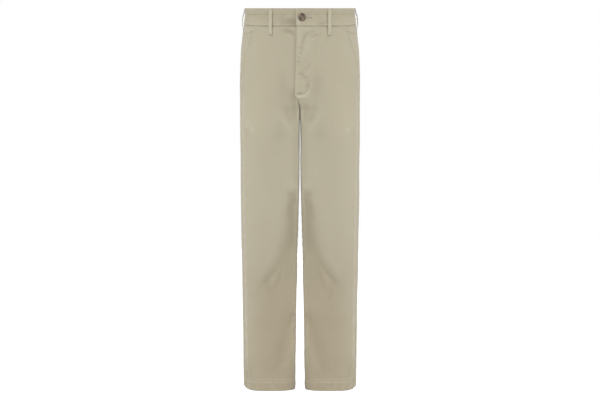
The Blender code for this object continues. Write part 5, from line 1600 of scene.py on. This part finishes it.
def studio():
    scene = bpy.context.scene
    scene.view_settings.view_transform = "Standard"
    scene.view_settings.look = "None"
    world = bpy.data.worlds.new("studio")
    world.use_nodes = True
    nodes, links = world.node_tree.nodes, world.node_tree.links
    nodes.clear()
    out = nodes.new("ShaderNodeOutputWorld")
    # Even white behind the garment; what lights it is softer.
    sky, seen = nodes.new("ShaderNodeBackground"), nodes.new("ShaderNodeBackground")
    where = nodes.new("ShaderNodeTexCoord")
    split = nodes.new("ShaderNodeSeparateXYZ")
    links.new(where.outputs["Generated"], split.inputs["Vector"])
    height = nodes.new("ShaderNodeMapRange")
    height.interpolation_type = "SMOOTHSTEP"
    height.inputs["From Min"].default_value, height.inputs["From Max"].default_value = -0.9, 0.9
    height.inputs["To Min"].default_value, height.inputs["To Max"].default_value = SKY_LOW, SKY_HIGH
    links.new(split.outputs["Z"], height.inputs["Value"])
    sky.inputs["Color"].default_value = (1.0, 1.0, 1.0, 1.0)
    links.new(height.outputs["Result"], sky.inputs["Strength"])
    seen.inputs["Color"].default_value = (1.0, 1.0, 1.0, 1.0)
    seen.inputs["Strength"].default_value = 1.0
    path, pick = nodes.new("ShaderNodeLightPath"), nodes.new("ShaderNodeMixShader")
    links.new(path.outputs["Is Camera Ray"], pick.inputs["Fac"])
    links.new(sky.outputs["Background"], pick.inputs[1])
    links.new(seen.outputs["Background"], pick.inputs[2])
    links.new(pick.outputs["Shader"], out.inputs["Surface"])
    scene.world = world

    bpy.ops.mesh.primitive_plane_add(size=30, location=(0, 0, -1.30))
    floor = bpy.context.active_object
    floor.name = "floor"
    mat, nodes, links, shader = new_material("floor_white")
    shader.inputs["Base Color"].default_value = (0.90, 0.90, 0.90, 1.0)
    shader.inputs["Roughness"].default_value = 0.9
    shader.inputs["Emission Color"].default_value = (1.0, 1.0, 1.0, 1.0)
    shader.inputs["Emission Strength"].default_value = FLOOR_GLOW
    floor.data.materials.append(mat)
    floor.visible_diffuse = False       # it brightens the garment no further

    area_light("key", (0.0, -3.4, 0.15), (0.0, 0.0, -0.45), (1.6, 1.0), KEY)
    for name, way in (("side_left", 1), ("side_right", -1)):
        area_light(name, (way * 1.45, -0.72, -0.34), (0.0, 0.0, -0.46), (1.3, 1.7), SIDE, (0.96, 0.98, 1.0))

    camera = bpy.data.objects.new("camera", bpy.data.cameras.new("camera"))
    camera.data.sensor_width = 36.0
    camera.data.lens = 36.0 * 3.0 / 1.62
    camera.location = (0.0, -3.0, -0.50365)
    camera.rotation_euler = (math.radians(90), 0, 0)
    camera.data.clip_end = 60
    scene.collection.objects.link(camera)
    scene.camera = camera


studio()
